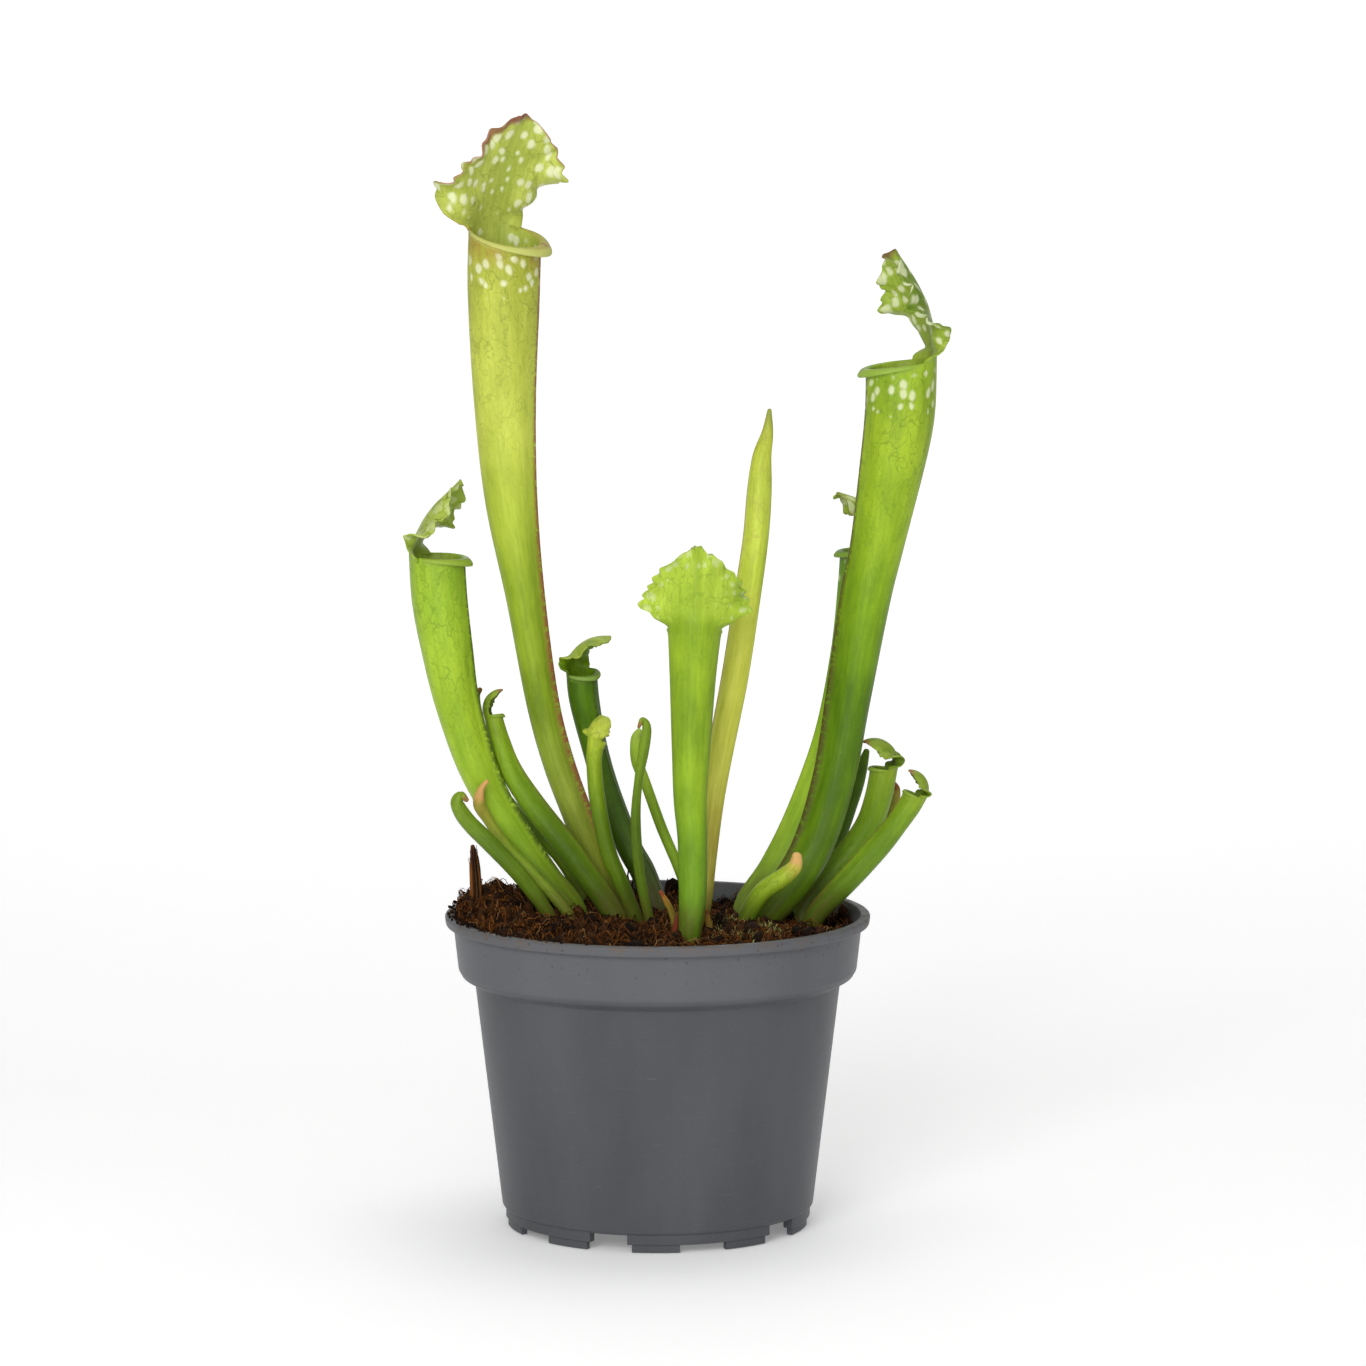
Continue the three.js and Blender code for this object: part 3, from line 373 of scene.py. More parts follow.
# %% The table of leaves
LEAVES = {
    "pitcher_left_tall": dict(
        look="lime_spotted", face=-12, twist=-43, slope=3.4, roll=2.6, hollow=0.42,
        stem=[
            (-10, 12, 78, 3.6, 0.4), (-12.7, 15, 88.2, 3.9, 0.8), (-17.2, 14, 97.9, 3.9, 1),
            (-22.5, 13, 112.4, 3.8, 1.3), (-28.7, 12, 129.7, 3.9, 1.4), (-33.2, 11, 147.5, 4.1, 1.4),
            (-37.6, 10, 176.1, 5, 1.2), (-41.5, 9, 204.5, 7, 1), (-43, 8, 232.7, 8.5, 0.7),
            (-43.1, 8, 262, 10, 0.4), (-42.6, 8, 278.6, 10.2, 0.2),
        ],
        hood=dict(
            length=34.8, half=19.6, widest=0.23, full=1.5, taper=0.75, skew=-0.32, neck=58, lean=(20, 34),
            turn=-2, hollow=2.6, ears=2.4, frill=1.5, waves=9,
        ),
    ),
    "pitcher_left_short": dict(
        look="fresh_veined", face=-12, slope=0.9, roll=1.8, hollow=0.42,
        stem=[
            (-22, 8, 79, 3.4, 0.4), (-25.4, 8, 88.5, 4.2, 0.8), (-32.4, 7, 97.3, 4.4, 1),
            (-39.1, 6, 106.9, 4.5, 1.2), (-46.8, 4, 120, 4.6, 1.3), (-52.2, 2, 132.5, 5.2, 1.2),
            (-56.8, 1, 148.8, 6, 1), (-59.3, 0, 163.1, 7, 0.8), (-61.4, 0, 177.2, 7.9, 0.5),
            (-62.1, 0, 189, 8.1, 0.3),
        ],
        hood=dict(
            length=26.5, half=11.5, widest=0.32, full=2.2, taper=0.66, neck=66, lean=(21, 58), turn=-10,
            hollow=1.2, ears=2.1, frill=1.1, waves=9,
        ),
    ),
    "pitcher_left_young": dict(
        look="fresh_plain", face=-10, slope=0.4, roll=0.6, hollow=0.86,
        stem=[
            (-8, 5, 79, 2.6, 0.3), (-12.9, 3.5, 88.2, 3, 0.5), (-24.7, 3, 105, 3, 0.9),
            (-35.1, 3.5, 118, 2.9, 1.2), (-41.6, 4, 128.1, 2.7, 1), (-44.6, 5, 136.5, 2.6, 0.5),
            (-46.4, 6, 143.5, 2.5, 0.2),
        ],
        hood=dict(
            length=11, half=3.6, widest=0.4, full=2.4, neck=76, lean=(-6, 104), turn=0, hollow=1.05, ears=0,
            frill=0.2, waves=4,
        ),
    ),
    "leaf_left_slim": dict(
        look="slim_lime", face=20,
        stem=[
            (-16, 16, 79, 1.9, 0.2), (-20, 18.5, 88, 2, 0.3), (-27.8, 18, 101.6, 2, 0.5),
            (-39.1, 16.5, 113.1, 1.9, 0.5), (-47.8, 15, 124.9, 1.8, 0.4), (-50.8, 13.5, 137.4, 1.7, 0.3),
            (-51.6, 12.5, 147.4, 1.4, 0.1), (-50.2, 12, 150.4, 0.7, 0),
        ],
    ),
    "leaf_left_outer": dict(
        look="slim_fresh", face=160,
        stem=[
            (-27.5, -1, 79, 1.8, 0.2), (-31, -7, 89.5, 2, 0.3), (-38.6, -9.5, 100.6, 2.2, 0.4),
            (-46.9, -10.5, 109.7, 2.4, 0.4), (-53.1, -10.5, 116.1, 2.3, 0.4), (-56, -10.5, 120.9, 1.9, 0.2),
            (-55, -10.5, 123.3, 1.3, 0), (-53.4, -10.5, 122.1, 0.7, 0),
        ],
    ),
    "leaf_left_dried": dict(
        look="dried_tip", face=160,
        stem=[
            (-22, -1, 79, 1.5, 0.1), (-25.5, -3.5, 89, 1.7, 0.2), (-34.5, -4, 99.4, 1.7, 0.2),
            (-42.4, -4.2, 108, 1.6, 0.2), (-47.5, -4.6, 115.4, 1.5, 0.1), (-50, -5.2, 120, 1.8, 0),
            (-49.4, -5.6, 124.4, 1, 0), (-47.8, -5.6, 126.6, 0.6, 0),
        ],
    ),
    "pitcher_middle_dark": dict(
        look="deep_plain", face=-48, slope=0.3, roll=1, hollow=0.6,
        stem=[
            (1, 8, 79, 3.2, 0.3), (-0.4, 9, 88, 3.5, 0.6), (-4.1, 11.5, 98.1, 3.6, 0.8),
            (-8.4, 13, 105.9, 3.6, 1), (-14.3, 14, 121.3, 3.6, 0.9), (-18, 13, 134.4, 3.7, 0.6),
            (-20.7, 11, 147.5, 4.3, 0.4), (-21.4, 10, 155.2, 4.4, 0.2),
        ],
        hood=dict(
            length=18.5, half=6.6, widest=0.34, full=2.2, neck=72, lean=(0, 110), turn=22, hollow=1.6,
            ears=1.6, frill=0.6, waves=6,
        ),
    ),
    "pitcher_middle_light": dict(
        look="lime_plain", face=48, slope=0.3, roll=0.5, hollow=0.84,
        stem=[
            (-3.5, 1, 79, 1.8, 0.2), (-6.1, -2.5, 86.9, 2.1, 0.3), (-10, -4.5, 97.2, 2.2, 0.4),
            (-13.9, -5, 106.8, 2.3, 0.5), (-16.8, -5, 120.8, 2.3, 0.5), (-17.8, -5, 132.2, 2.2, 0.3),
            (-17.2, -5, 137.6, 2.5, 0.1),
        ],
        hood=dict(
            length=9.5, half=5, widest=0.4, full=2, neck=80, lean=(-6, 80), turn=0, hollow=1.5, ears=1.5,
            frill=0.3, waves=4,
        ),
    ),
    "leaf_curled": dict(
        look="slim_fresh", face=-90,
        stem=[
            (0.5, -1.5, 79, 1.2, 0.1), (-2.1, -9, 87, 1.4, 0.2), (-5.1, -11, 102.5, 1.5, 0.3),
            (-6.1, -11.5, 116.9, 1.4, 0.3), (-5.4, -11.5, 127.1, 1.2, 0.2), (-4, -11.5, 135.5, 1.5, 0.2),
            (-3, -11.5, 142.4, 1.3, 0), (-4.2, -12, 144.8, 0.8, 0), (-5.2, -12.8, 143, 0.5, 0),
        ],
    ),
    "leaf_thin_lobed": dict(
        look="slim_plain", face=90,
        stem=[
            (9.5, 1, 79, 1.3, 0.1), (8.9, 3, 91.4, 1.5, 0.2), (6.1, 3.6, 100.1, 1.5, 0.3),
            (1, 4, 112.5, 1.5, 0.4), (-3.4, 3.6, 124.8, 1.5, 0.4), (-5.8, 2.8, 131.5, 1.7, 0.3),
            (-6.1, 2, 137.4, 1.5, 0.1), (-5.2, 1.4, 140, 0.8, 0),
        ],
    ),
    "pitcher_centre_front": dict(
        look="fresh_pale_hood", face=90, slope=1.2, roll=1.4, hollow=0.42,
        stem=[
            (9, -34, 78.5, 2.8, 0.3), (8.8, -38, 87, 3, 0.8), (9.6, -38, 98.2, 3.8, 0.9),
            (9.6, -37, 114.4, 4.1, 0.9), (9, -36, 125.7, 4.6, 0.8), (9.2, -35, 139.4, 5.3, 0.7),
            (9.7, -34, 159.5, 6.4, 0.4), (10.2, -34, 172.4, 7.4, 0.2),
        ],
        hood=dict(
            length=22.5, half=16, widest=0.3, full=1.7, taper=0.7, neck=84, lean=(2, 22), turn=0, hollow=2.6,
            ears=1.1, frill=1.3, waves=11,
        ),
    ),
    "pitcher_unopened": dict(
        look="yellow_unopened", face=180,
        stem=[
            (11.5, -9.5, 79, 2, 0.2), (12.4, -14, 90.1, 2.3, 0.3), (13, -14.5, 95.1, 2.4, 0.4),
            (14, -12, 106, 2.5, 0.5), (15.6, -9, 121.2, 3, 0.5), (18.2, -6, 137, 3.4, 0.5),
            (21.8, -2, 155.4, 3.6, 0.5), (24.9, 1, 174.1, 3.6, 0.4), (27.6, 3, 193, 3.5, 0.3),
            (28.7, 4, 207.4, 3.4, 0.2), (29.4, 4.6, 217, 2.7, 0), (30.8, 5, 223.5, 1.7, 0),
            (31.4, 5, 230, 0.6, 0),
        ],
    ),
    "pitcher_right_tall": dict(
        look="deep_spotted", face=188, slope=1.6, roll=1.9, hollow=0.42,
        stem=[
            (26.5, 3, 79, 3.6, 0.4), (29, 2, 85.5, 4.3, 0.8), (36, 2, 93.4, 4.8, 1.2),
            (44.5, 3, 106.5, 5, 1.8), (50.6, 4, 125.8, 5.1, 2), (54.5, 5, 148.2, 5.5, 1.9),
            (58.9, 5, 176.6, 6.6, 1.3), (61.9, 5, 191.5, 7.2, 0.8), (66.2, 4, 216.1, 9, 0.5),
            (68.2, 4, 229.9, 9.9, 0.3), (68.5, 4, 242.6, 10.1, 0.2),
        ],
        hood=dict(
            length=35, half=16.8, widest=0.24, full=2.2, taper=0.6, neck=62, lean=(4, 50), turn=10,
            hollow=1.3, ears=3.2, frill=1.5, waves=11,
        ),
    ),
    "pitcher_right_back": dict(
        look="deep_back", face=184, slope=1, roll=1.4, hollow=0.42,
        stem=[
            (25, 22, 79, 3.4, 0.4), (26.8, 26, 86.4, 3.9, 0.8), (34.5, 28, 96.5, 4.3, 1.2),
            (42.7, 30, 111.6, 4.7, 1.4), (51, 32, 133.9, 5.1, 1.2), (56, 33, 158, 5.7, 0.8),
            (58.8, 33, 178.5, 6.8, 0.4), (59.8, 33, 187.4, 7.4, 0.2),
        ],
        hood=dict(
            length=26.5, half=11.5, widest=0.26, full=2.4, taper=0.58, neck=64, lean=(10, 96), turn=8,
            hollow=1.3, ears=3, frill=1.2, waves=9,
        ),
    ),
    "leaf_right_front": dict(
        look="orange_tip", face=90,
        stem=[
            (24.5, -3.5, 79, 2, 0.2), (24.6, -9, 86.5, 2.4, 0.3), (26.9, -11.5, 92.7, 2.7, 0.4),
            (30.4, -13, 97.2, 2.7, 0.4), (34.8, -14, 100.4, 2.6, 0.3), (38.2, -14.2, 103.6, 2.1, 0.1),
            (38.9, -14.2, 106.6, 1.4, 0),
        ],
    ),
    "pitcher_right_small": dict(
        look="fresh_plain", face=186, slope=0.2, roll=0.5, hollow=0.84,
        stem=[
            (40, 8.5, 79, 2.6, 0.3), (41.9, 11.5, 88.1, 3, 0.5), (47.6, 12.5, 95.4, 3.4, 0.7),
            (55.4, 13, 103.9, 3.6, 0.8), (60.4, 12.5, 112, 3.5, 0.7), (62.9, 12, 120, 3.7, 0.4),
            (64.2, 12, 127.4, 3.8, 0.2),
        ],
        hood=dict(
            length=16.5, half=6.5, widest=0.4, full=2.6, neck=80, lean=(-6, 124), turn=0, hollow=1.05, ears=3,
            frill=0.3, waves=5,
        ),
    ),
    "pitcher_right_hooked": dict(
        look="fresh_plain", face=188, slope=0.2, roll=0.3, hollow=0.9,
        stem=[
            (43, 4, 79, 2.4, 0.2), (44.4, 1.5, 86.8, 2.9, 0.4), (50.1, -0.6, 94, 3.2, 0.6),
            (55.9, -2, 100.4, 3.3, 0.6), (62.6, -3, 108.2, 3.3, 0.5), (67.6, -4, 114.8, 3.1, 0.3),
            (70.6, -4.2, 119.2, 3.2, 0.2), (72.2, -4.2, 122.2, 3.3, 0.1),
        ],
        hood=dict(
            length=12, half=4.8, widest=0.42, full=2.6, neck=80, lean=(-2, 116), turn=0, hollow=1.05, ears=2,
            frill=0.2, waves=4,
        ),
    ),
    "leaf_right_brown": dict(
        look="brown_tip", face=180,
        stem=[
            (43.5, 19, 79, 1.5, 0.1), (45.6, 23, 87, 1.7, 0.2), (55.6, 25, 97.3, 1.8, 0.3),
            (63.6, 25, 107.5, 1.8, 0.3), (67, 25, 115, 1.8, 0.2), (68.2, 25, 119.6, 1.3, 0),
            (67.4, 25, 122, 0.6, 0),
        ],
    ),
    "leaf_right_dark": dict(
        look="slim_dark", face=180,
        stem=[
            (37, 15, 79, 1.5, 0.1), (38.2, 20.5, 86.5, 1.7, 0.2), (49.6, 22.8, 101.9, 1.9, 0.3),
            (55.6, 23, 116.8, 1.9, 0.3), (58.2, 23, 126, 1.7, 0.2), (59.6, 23, 131.2, 0.9, 0),
        ],
    ),
    "stub_dry": dict(
        look="dry_stub", face=0,
        stem=[
            (-51.5, 3, 84, 1.2, 0.1), (-51.2, 1, 92, 1.5, 0.2), (-51.4, 0.4, 98, 1.4, 0.3),
            (-51.8, 0, 103.5, 1.1, 0.4), (-52.1, -0.4, 107.4, 0.6, 0),
        ],
    ),
    "shoot_yellow": dict(
        look="dying_shoot", face=0,
        stem=[
            (5.2, -14, 80, 0.7, 0), (4.4, -16, 89, 0.9, 0.2), (2.6, -18, 94, 0.8, 0.2),
            (0.8, -19, 97.4, 0.45, 0),
        ],
    ),
    "shoot_red": dict(
        look="red_shoot", face=0,
        stem=[(4.4, -24, 80, 0.7, 0), (4.9, -25, 88, 0.8, 0.2), (5.5, -25.4, 92.5, 0.45, 0)],
    ),
    "shoot_pale": dict(
        look="dying_shoot", face=0,
        stem=[(14.6, -25, 80, 0.7, 0), (14.2, -27, 88.5, 0.9, 0.2), (13.4, -27.6, 93.5, 0.45, 0)],
    ),
}
# The photograph shows three hoods fuller than the solid model's. fill raises the ears on each side (w < 0
# first), full and taper round the outline above the widest place, fold bends the halves inwards from the
# middle and peak lifts the tip. The centre hood's folded sides stand up to 9 mm away from its solid. How
# deep they are folded can't be seen from the front and is a guess.
LEAVES["pitcher_left_tall"]["hood"].update(fill=(1.0, 0.3))
LEAVES["pitcher_left_short"]["hood"].update(full=2.7, taper=0.56, turn=0)
LEAVES["pitcher_centre_front"]["hood"].update(
    fill=(0.55, 0.55), full=2.1, taper=0.62, fold=0.42, peak=1.7, length=21.2, waves=10,
)
print("leaves:", len(LEAVES))

# %% [markdown]
# ## How a leaf looks
#
# Living leaf is soft green flesh under a thin coat of wax, so light sinks in and only a weak, broad shine
# comes back. Each leaf could have a material of its own, but they share their build, so one recipe reads a
# look. A look gives the tube's colours from the foot (0) to the mouth (1), and says how strong the veins,
# the white windows, the keel line, the blush under the lip, the scorched margin and the dried tip are.

# %% The looks
BASE_LOOK = dict(
    tube=[(0, "#5f6e22"), (0.25, "#64841e"), (0.5, "#7f9f27"), (0.75, "#96b334"), (1, "#9cb738")],
    hood="#9db640", inner="#a6b552", lip="#b4c25c", vein="#5c7a1c", veins=0.5, windows=0.0,
    window_depth=20.0, window_spacing=3.6, window_edge=(40.0, 2.0), blush=0.0, keel="#6b4023",
    keel_line=0.0, keel_width=0.8, margin="#a98a5a", margin_width=0.0, tip="#8a5a2e", tip_from=9.0,
    streaks=0.35, ridge_shade=0.0, scorch=0.0, gloss=0.38, slot="leaf_green",
)
LOOKS = {
    "lime_spotted": dict(
        tube=[
            (0, "#4f6118"), (0.22, "#8a9434"), (0.34, "#93a340"), (0.5, "#7a9424"), (0.6, "#90a830"),
            (0.7, "#aabc45"), (0.8, "#bfca5a"), (0.9, "#b6be53"), (1, "#b0b54a"),
        ],
        hood="#b6c25a", inner="#b4c05c", lip="#c3c76e", vein="#77842f", veins=0.6, windows=0.8,
        window_depth=19.0, blush=0.8, keel="#8a3d34", keel_line=0.85, keel_width=1.9, margin="#ae8068",
        margin_width=0.1, tip="#8a5244", tip_from=1.92, scorch=0.85, slot="leaf_lime",
    ),
    "fresh_veined": dict(
        tube=[
            (0, "#5c7a1e"), (0.25, "#7c9c2a"), (0.39, "#96ba34"), (0.55, "#9abb33"), (0.67, "#9bba32"),
            (0.89, "#9dbe3a"), (1, "#8fae34"),
        ],
        hood="#a9bb56", inner="#98ad4a", lip="#93ab40", veins=0.55, keel_line=0.85, keel="#3f4f14",
        keel_width=1.6, windows=0.3, window_depth=0.0, window_spacing=3.3, gloss=0.27,
    ),
    "fresh_plain": dict(
        tube=[(0, "#566a1e"), (0.3, "#577518"), (0.55, "#6f9120"), (0.8, "#7f9f24"), (1, "#8ba52e")],
        hood="#869c38", inner="#5c7518", lip="#86a038", veins=0.35, keel_line=0.4, tip="#a87850",
        tip_from=1.9,
    ),
    "slim_lime": dict(
        tube=[(0, "#5d6d1f"), (0.4, "#6f8c24"), (0.8, "#829c32"), (1, "#7d8a34")], tip_from=0.93,
        slot="leaf_lime",
    ),
    "slim_fresh": dict(
        tube=[(0, "#52661c"), (0.4, "#64821c"), (0.8, "#7f9b2c"), (1, "#8d9a3c")], tip="#94683e",
        tip_from=0.92,
    ),
    "slim_plain": dict(
        tube=[(0, "#5a6e20"), (0.3, "#7fa02c"), (0.8, "#97b53c"), (1, "#a3bc55")], veins=0.3,
    ),
    "slim_dark": dict(tube=[(0, "#4a5f18"), (0.5, "#537414"), (1, "#55741c")], slot="leaf_dark"),
    "dried_tip": dict(
        tube=[(0, "#66752a"), (0.4, "#86a032"), (0.7, "#a59a45"), (1, "#c49a5a")], tip="#d0a060",
        tip_from=0.74, streaks=0.6, slot="leaf_yellow",
    ),
    "brown_tip": dict(
        tube=[(0, "#66752a"), (0.4, "#708c24"), (0.8, "#9a8a3c"), (1, "#96643a")], tip="#8a5230",
        tip_from=0.84, slot="leaf_yellow",
    ),
    "orange_tip": dict(
        tube=[(0, "#5f7f22"), (0.35, "#7a9c22"), (0.7, "#9cb433"), (0.85, "#c8bc56"), (1, "#d9b06a")],
        tip="#dcae6c", tip_from=0.86, slot="leaf_lime",
    ),
    "deep_plain": dict(
        tube=[(0, "#3f431a"), (0.3, "#3d5511"), (0.6, "#466808"), (1, "#476a03")], hood="#94a646",
        inner="#64830f", lip="#7f9a44", veins=0.3, keel_line=0.5, keel="#33400f", slot="leaf_dark",
    ),
    "lime_plain": dict(
        tube=[(0, "#4c6512"), (0.31, "#526e13"), (0.67, "#6c8a14"), (0.9, "#94ac2c"), (1, "#a3b635")],
        hood="#b5c14c", inner="#8fa63a", lip="#b9c66a", margin="#8a6a4a", margin_width=0.1, veins=0.3,
        slot="leaf_lime",
    ),
    "fresh_pale_hood": dict(
        tube=[
            (0, "#4f6f18"), (0.29, "#668d1c"), (0.38, "#739a20"), (0.5, "#7ca022"), (0.69, "#82a322"),
            (1, "#89a827"),
        ],
        hood="#adc848", inner="#b4c652", lip="#94b23a", veins=0.22, windows=0.34, window_depth=0.0,
        window_spacing=2.8, window_edge=(9.0, 2.0), ridge_shade=0.5,
    ),
    "yellow_unopened": dict(
        tube=[
            (0, "#7f7a40"), (0.28, "#c0b655"), (0.36, "#d6d767"), (0.53, "#d4d95f"), (0.62, "#c6d656"),
            (0.74, "#c4d35c"), (0.86, "#b3c045"), (1, "#9ba14c"),
        ],
        tip="#8f9a45", tip_from=0.95, streaks=0.6, vein="#a08a52", veins=0.4, keel_line=0.7,
        keel="#b07f62", slot="leaf_yellow",
    ),
    "deep_spotted": dict(
        tube=[
            (0, "#516a14"), (0.21, "#5d8016"), (0.3, "#5d7e12"), (0.5, "#55790a"), (0.6, "#789c18"),
            (0.71, "#90b026"), (0.86, "#9ab531"), (1, "#93b034"),
        ],
        hood="#86a038", inner="#96ac40", lip="#93b046", vein="#56761a", veins=0.55, windows=0.7,
        window_depth=17.0, keel_line=0.85, keel="#4f3a1c", keel_width=1.9, tip="#7a5a3c", tip_from=1.95,
        gloss=0.34, slot="leaf_dark",
    ),
    # Its tube's colours from the middle up are painted brighter: painted light against the shadow that the tall right
    # pitcher casts on it.
    "deep_back": dict(
        tube=[(0, "#6f8430"), (0.31, "#9abf40"), (0.48, "#aed443"), (0.64, "#88b624"), (1, "#6a9412")],
        hood="#97aa42", inner="#8fa63e", lip="#7f9c3a", windows=0.55, window_depth=14.0, keel_line=0.3,
        keel="#5f4a22", margin="#a98f70", margin_width=0.1,
    ),
    "dry_stub": dict(
        tube=[(0, "#2e1c14"), (0.4, "#50301f"), (0.8, "#4a2b1e"), (1, "#6b4432")], veins=0.8,
        vein="#23140e", streaks=1.0, gloss=0.8, slot="leaf_dry",
    ),
    "dying_shoot": dict(
        tube=[(0, "#8a7a3a"), (0.5, "#b9a648"), (0.8, "#c48a3e"), (1, "#a8562c")], tip="#a04a28",
        tip_from=0.85, streaks=0.6, slot="leaf_yellow",
    ),
    "red_shoot": dict(
        tube=[(0, "#6a2a22"), (0.5, "#a33a33"), (1, "#6b241f")], streaks=0.6, slot="leaf_red",
    ),
}
print("looks:", len(LOOKS))

# %% [markdown]
# ## What a leaf's points tell its material
#
# A pattern needs to know where it is. Texture coordinates could be unwrapped and painted, but a grown leaf
# knows its own measures, so each point carries them. Patterns are laid out in these millimetres: patches
# 9 mm wide are drawn out to 26 mm along the leaf, and streaks 0.9 mm wide to 30 mm.

# %% A leaf's numbers
POINT_NUMBERS = {
    "place": ("up", "edge", "keel"),  # 0 foot, 1 mouth, 2 tip; millimetres from the margin and the keel
    "mask": ("hood", "inside", "lip"),  # from 0 to 1
    "depth": ("drop", "across", "along"),  # millimetres below the rim, round from the keel, above the soil
}


def leaf_numbers(tree):
    """What every point of a leaf carries, by name, and the two grains that several finishes share."""
    straight = add(tree, "Attribute", (), out="Vector", attribute_name="straight")
    point = {"straight": straight}
    for layer, names in POINT_NUMBERS.items():
        vector = add(tree, "Attribute", (), out="Vector", attribute_name=layer)
        point.update(zip(names, add(tree, "SeparateXYZ", (vector,)).node.outputs))
    for name, size, drawn_out, rough in (("patches", 9, 0.35, 0.6), ("lines", 0.9, 0.03, 0.7)):
        space = add(tree, "Mapping", {"Vector": straight, "Scale": (1, 1, drawn_out)})
        inputs = {"Vector": space, "Scale": scale_for(size), "Detail": 4.0, "Roughness": rough}
        point[name] = add(tree, "TexNoise", inputs)
    return point


# %% Flesh
MOTTLE = (0.55, "#7a7a5e", "#e6e6c4")  # strength, and the two tones of the soft light
STREAK = (0.5, "#70704c", "#ecebc8")


def flesh(tree, look, point):
    """The leaf's colour by height, on its inside and on its hood, mottled and streaked."""
    inner = linear(look["inner"])
    tube = add(tree, "ValToRGB", (point["up"],), stops=look["tube"])
    tube = add(tree, "Mix", {0: point["inside"], 6: tube, 7: inner}, **COLOUR)
    blade = add(tree, "Mix", {0: point["inside"], 6: linear(look["hood"]), 7: inner}, **COLOUR)
    colour = add(tree, "Mix", {0: point["hood"], 6: tube, 7: blade}, **COLOUR)
    mottle = add(tree, "MapRange", (point["patches"], 0.3, 0.7), **SOFT)
    streaks = add(tree, "MapRange", (point["lines"], 0.35, 0.65), **SOFT)
    for share, (strength, dark, light), much in ((mottle, MOTTLE, 1.0), (streaks, STREAK, look["streaks"])):
        tones = add(tree, "ValToRGB", (share,), stops=[(0.0, dark), (1.0, light)])
        inputs = {0: strength * much, 6: colour, 7: tones}
        colour = add(tree, "Mix", inputs, blend_type="SOFT_LIGHT", **COLOUR)
    return colour


# %% [markdown]
# ## Veins
#
# The veins of a pitcher form a net of long meshes, clearest near the mouth. They could be drawn as curves,
# hundreds to a leaf. The borders of Voronoi cells make the same net at once: stretched along the leaf, bent
# by a noise so that no border is straight, and drawn twice, as a coarse net with a finer one between.

# %% Veins
HAIRLINE = 0.055  # half the width of a net vein, as a share of a cell
NET_BEND = (14.0, 14.0, 14.0)  # millimetres that the noise moves the net
NETS = ((3.3, 0.22, HAIRLINE), (1.6, 0.4, HAIRLINE * 1.3))  # a cell in millimetres, its stretch, a width


def vein_net(tree, look, point):
    """The net of veins, and the share of it that shows."""
    straight = point["straight"]
    inputs = {"Vector": straight, "Scale": scale_for(4.5), "Detail": 2.0}
    noise_colour = add(tree, "TexNoise", inputs, out="Color")
    moved = add(tree, "VectorMath", (noise_colour, NET_BEND, straight), operation="MULTIPLY_ADD")
    bent = add(tree, "Mix", {0: 0.5, 4: straight, 5: moved}, out=1, data_type="VECTOR")
    veins = []
    for size, drawn_out, width in NETS:
        space = add(tree, "Mapping", {"Vector": bent, "Scale": (1, 1, drawn_out)})
        inputs = {"Vector": space, "Scale": scale_for(size), "Randomness": 1.0}
        border = add(tree, "TexVoronoi", inputs, feature="DISTANCE_TO_EDGE")
        veins.append(add(tree, "MapRange", (border, width, 0.0), **SOFT))
    coarse, fine = veins
    fine = add(tree, "Math", (fine, 0.45), **TIMES)
    net = add(tree, "Math", (coarse, fine), operation="MAXIMUM")

    # Clearer towards the mouth and on the hood, uneven, and weaker on the inside.
    near_mouth = add(tree, "MapRange", (point["drop"], 95.0, 8.0), **SOFT)
    on_blade = add(tree, "Math", (point["hood"], 0.8), **TIMES)
    clear = add(tree, "Math", (near_mouth, on_blade), **PLUS)
    uneven = add(tree, "Math", (0.35, point["patches"]), **PLUS)
    clear = add(tree, "Math", (clear, uneven), **TIMES)
    fading = add(tree, "Math", (point["inside"], 0.45), **TIMES)
    fading = add(tree, "Math", (1.0, fading), **MINUS)
    clear = add(tree, "Math", (clear, fading), **TIMES)
    share = add(tree, "Math", (net, clear), **TIMES)
    return net, add(tree, "Math", (share, look["veins"]), use_clamp=True, **TIMES)


# %% [markdown]
# ## White windows
#
# Under the lip and on the hood the leaf has spots without green, where light shines through. Each could be
# a mesh of its own, but they lie in the skin. Cells again make them: a soft disc round each cell's middle,
# in a flat layout of millimetres round and along the leaf, so that the spots become upright ovals in rows.

# %% White windows
WINDOW_WHITE = "#e4e8bd"
WINDOW_SWAY = (2.4, 2.4, 0.0)  # millimetres that the rows wander
WINDOW_STRETCH = (1, 0.72, 0)
WINDOW_SIZE = 0.36  # radius, as a share of a cell


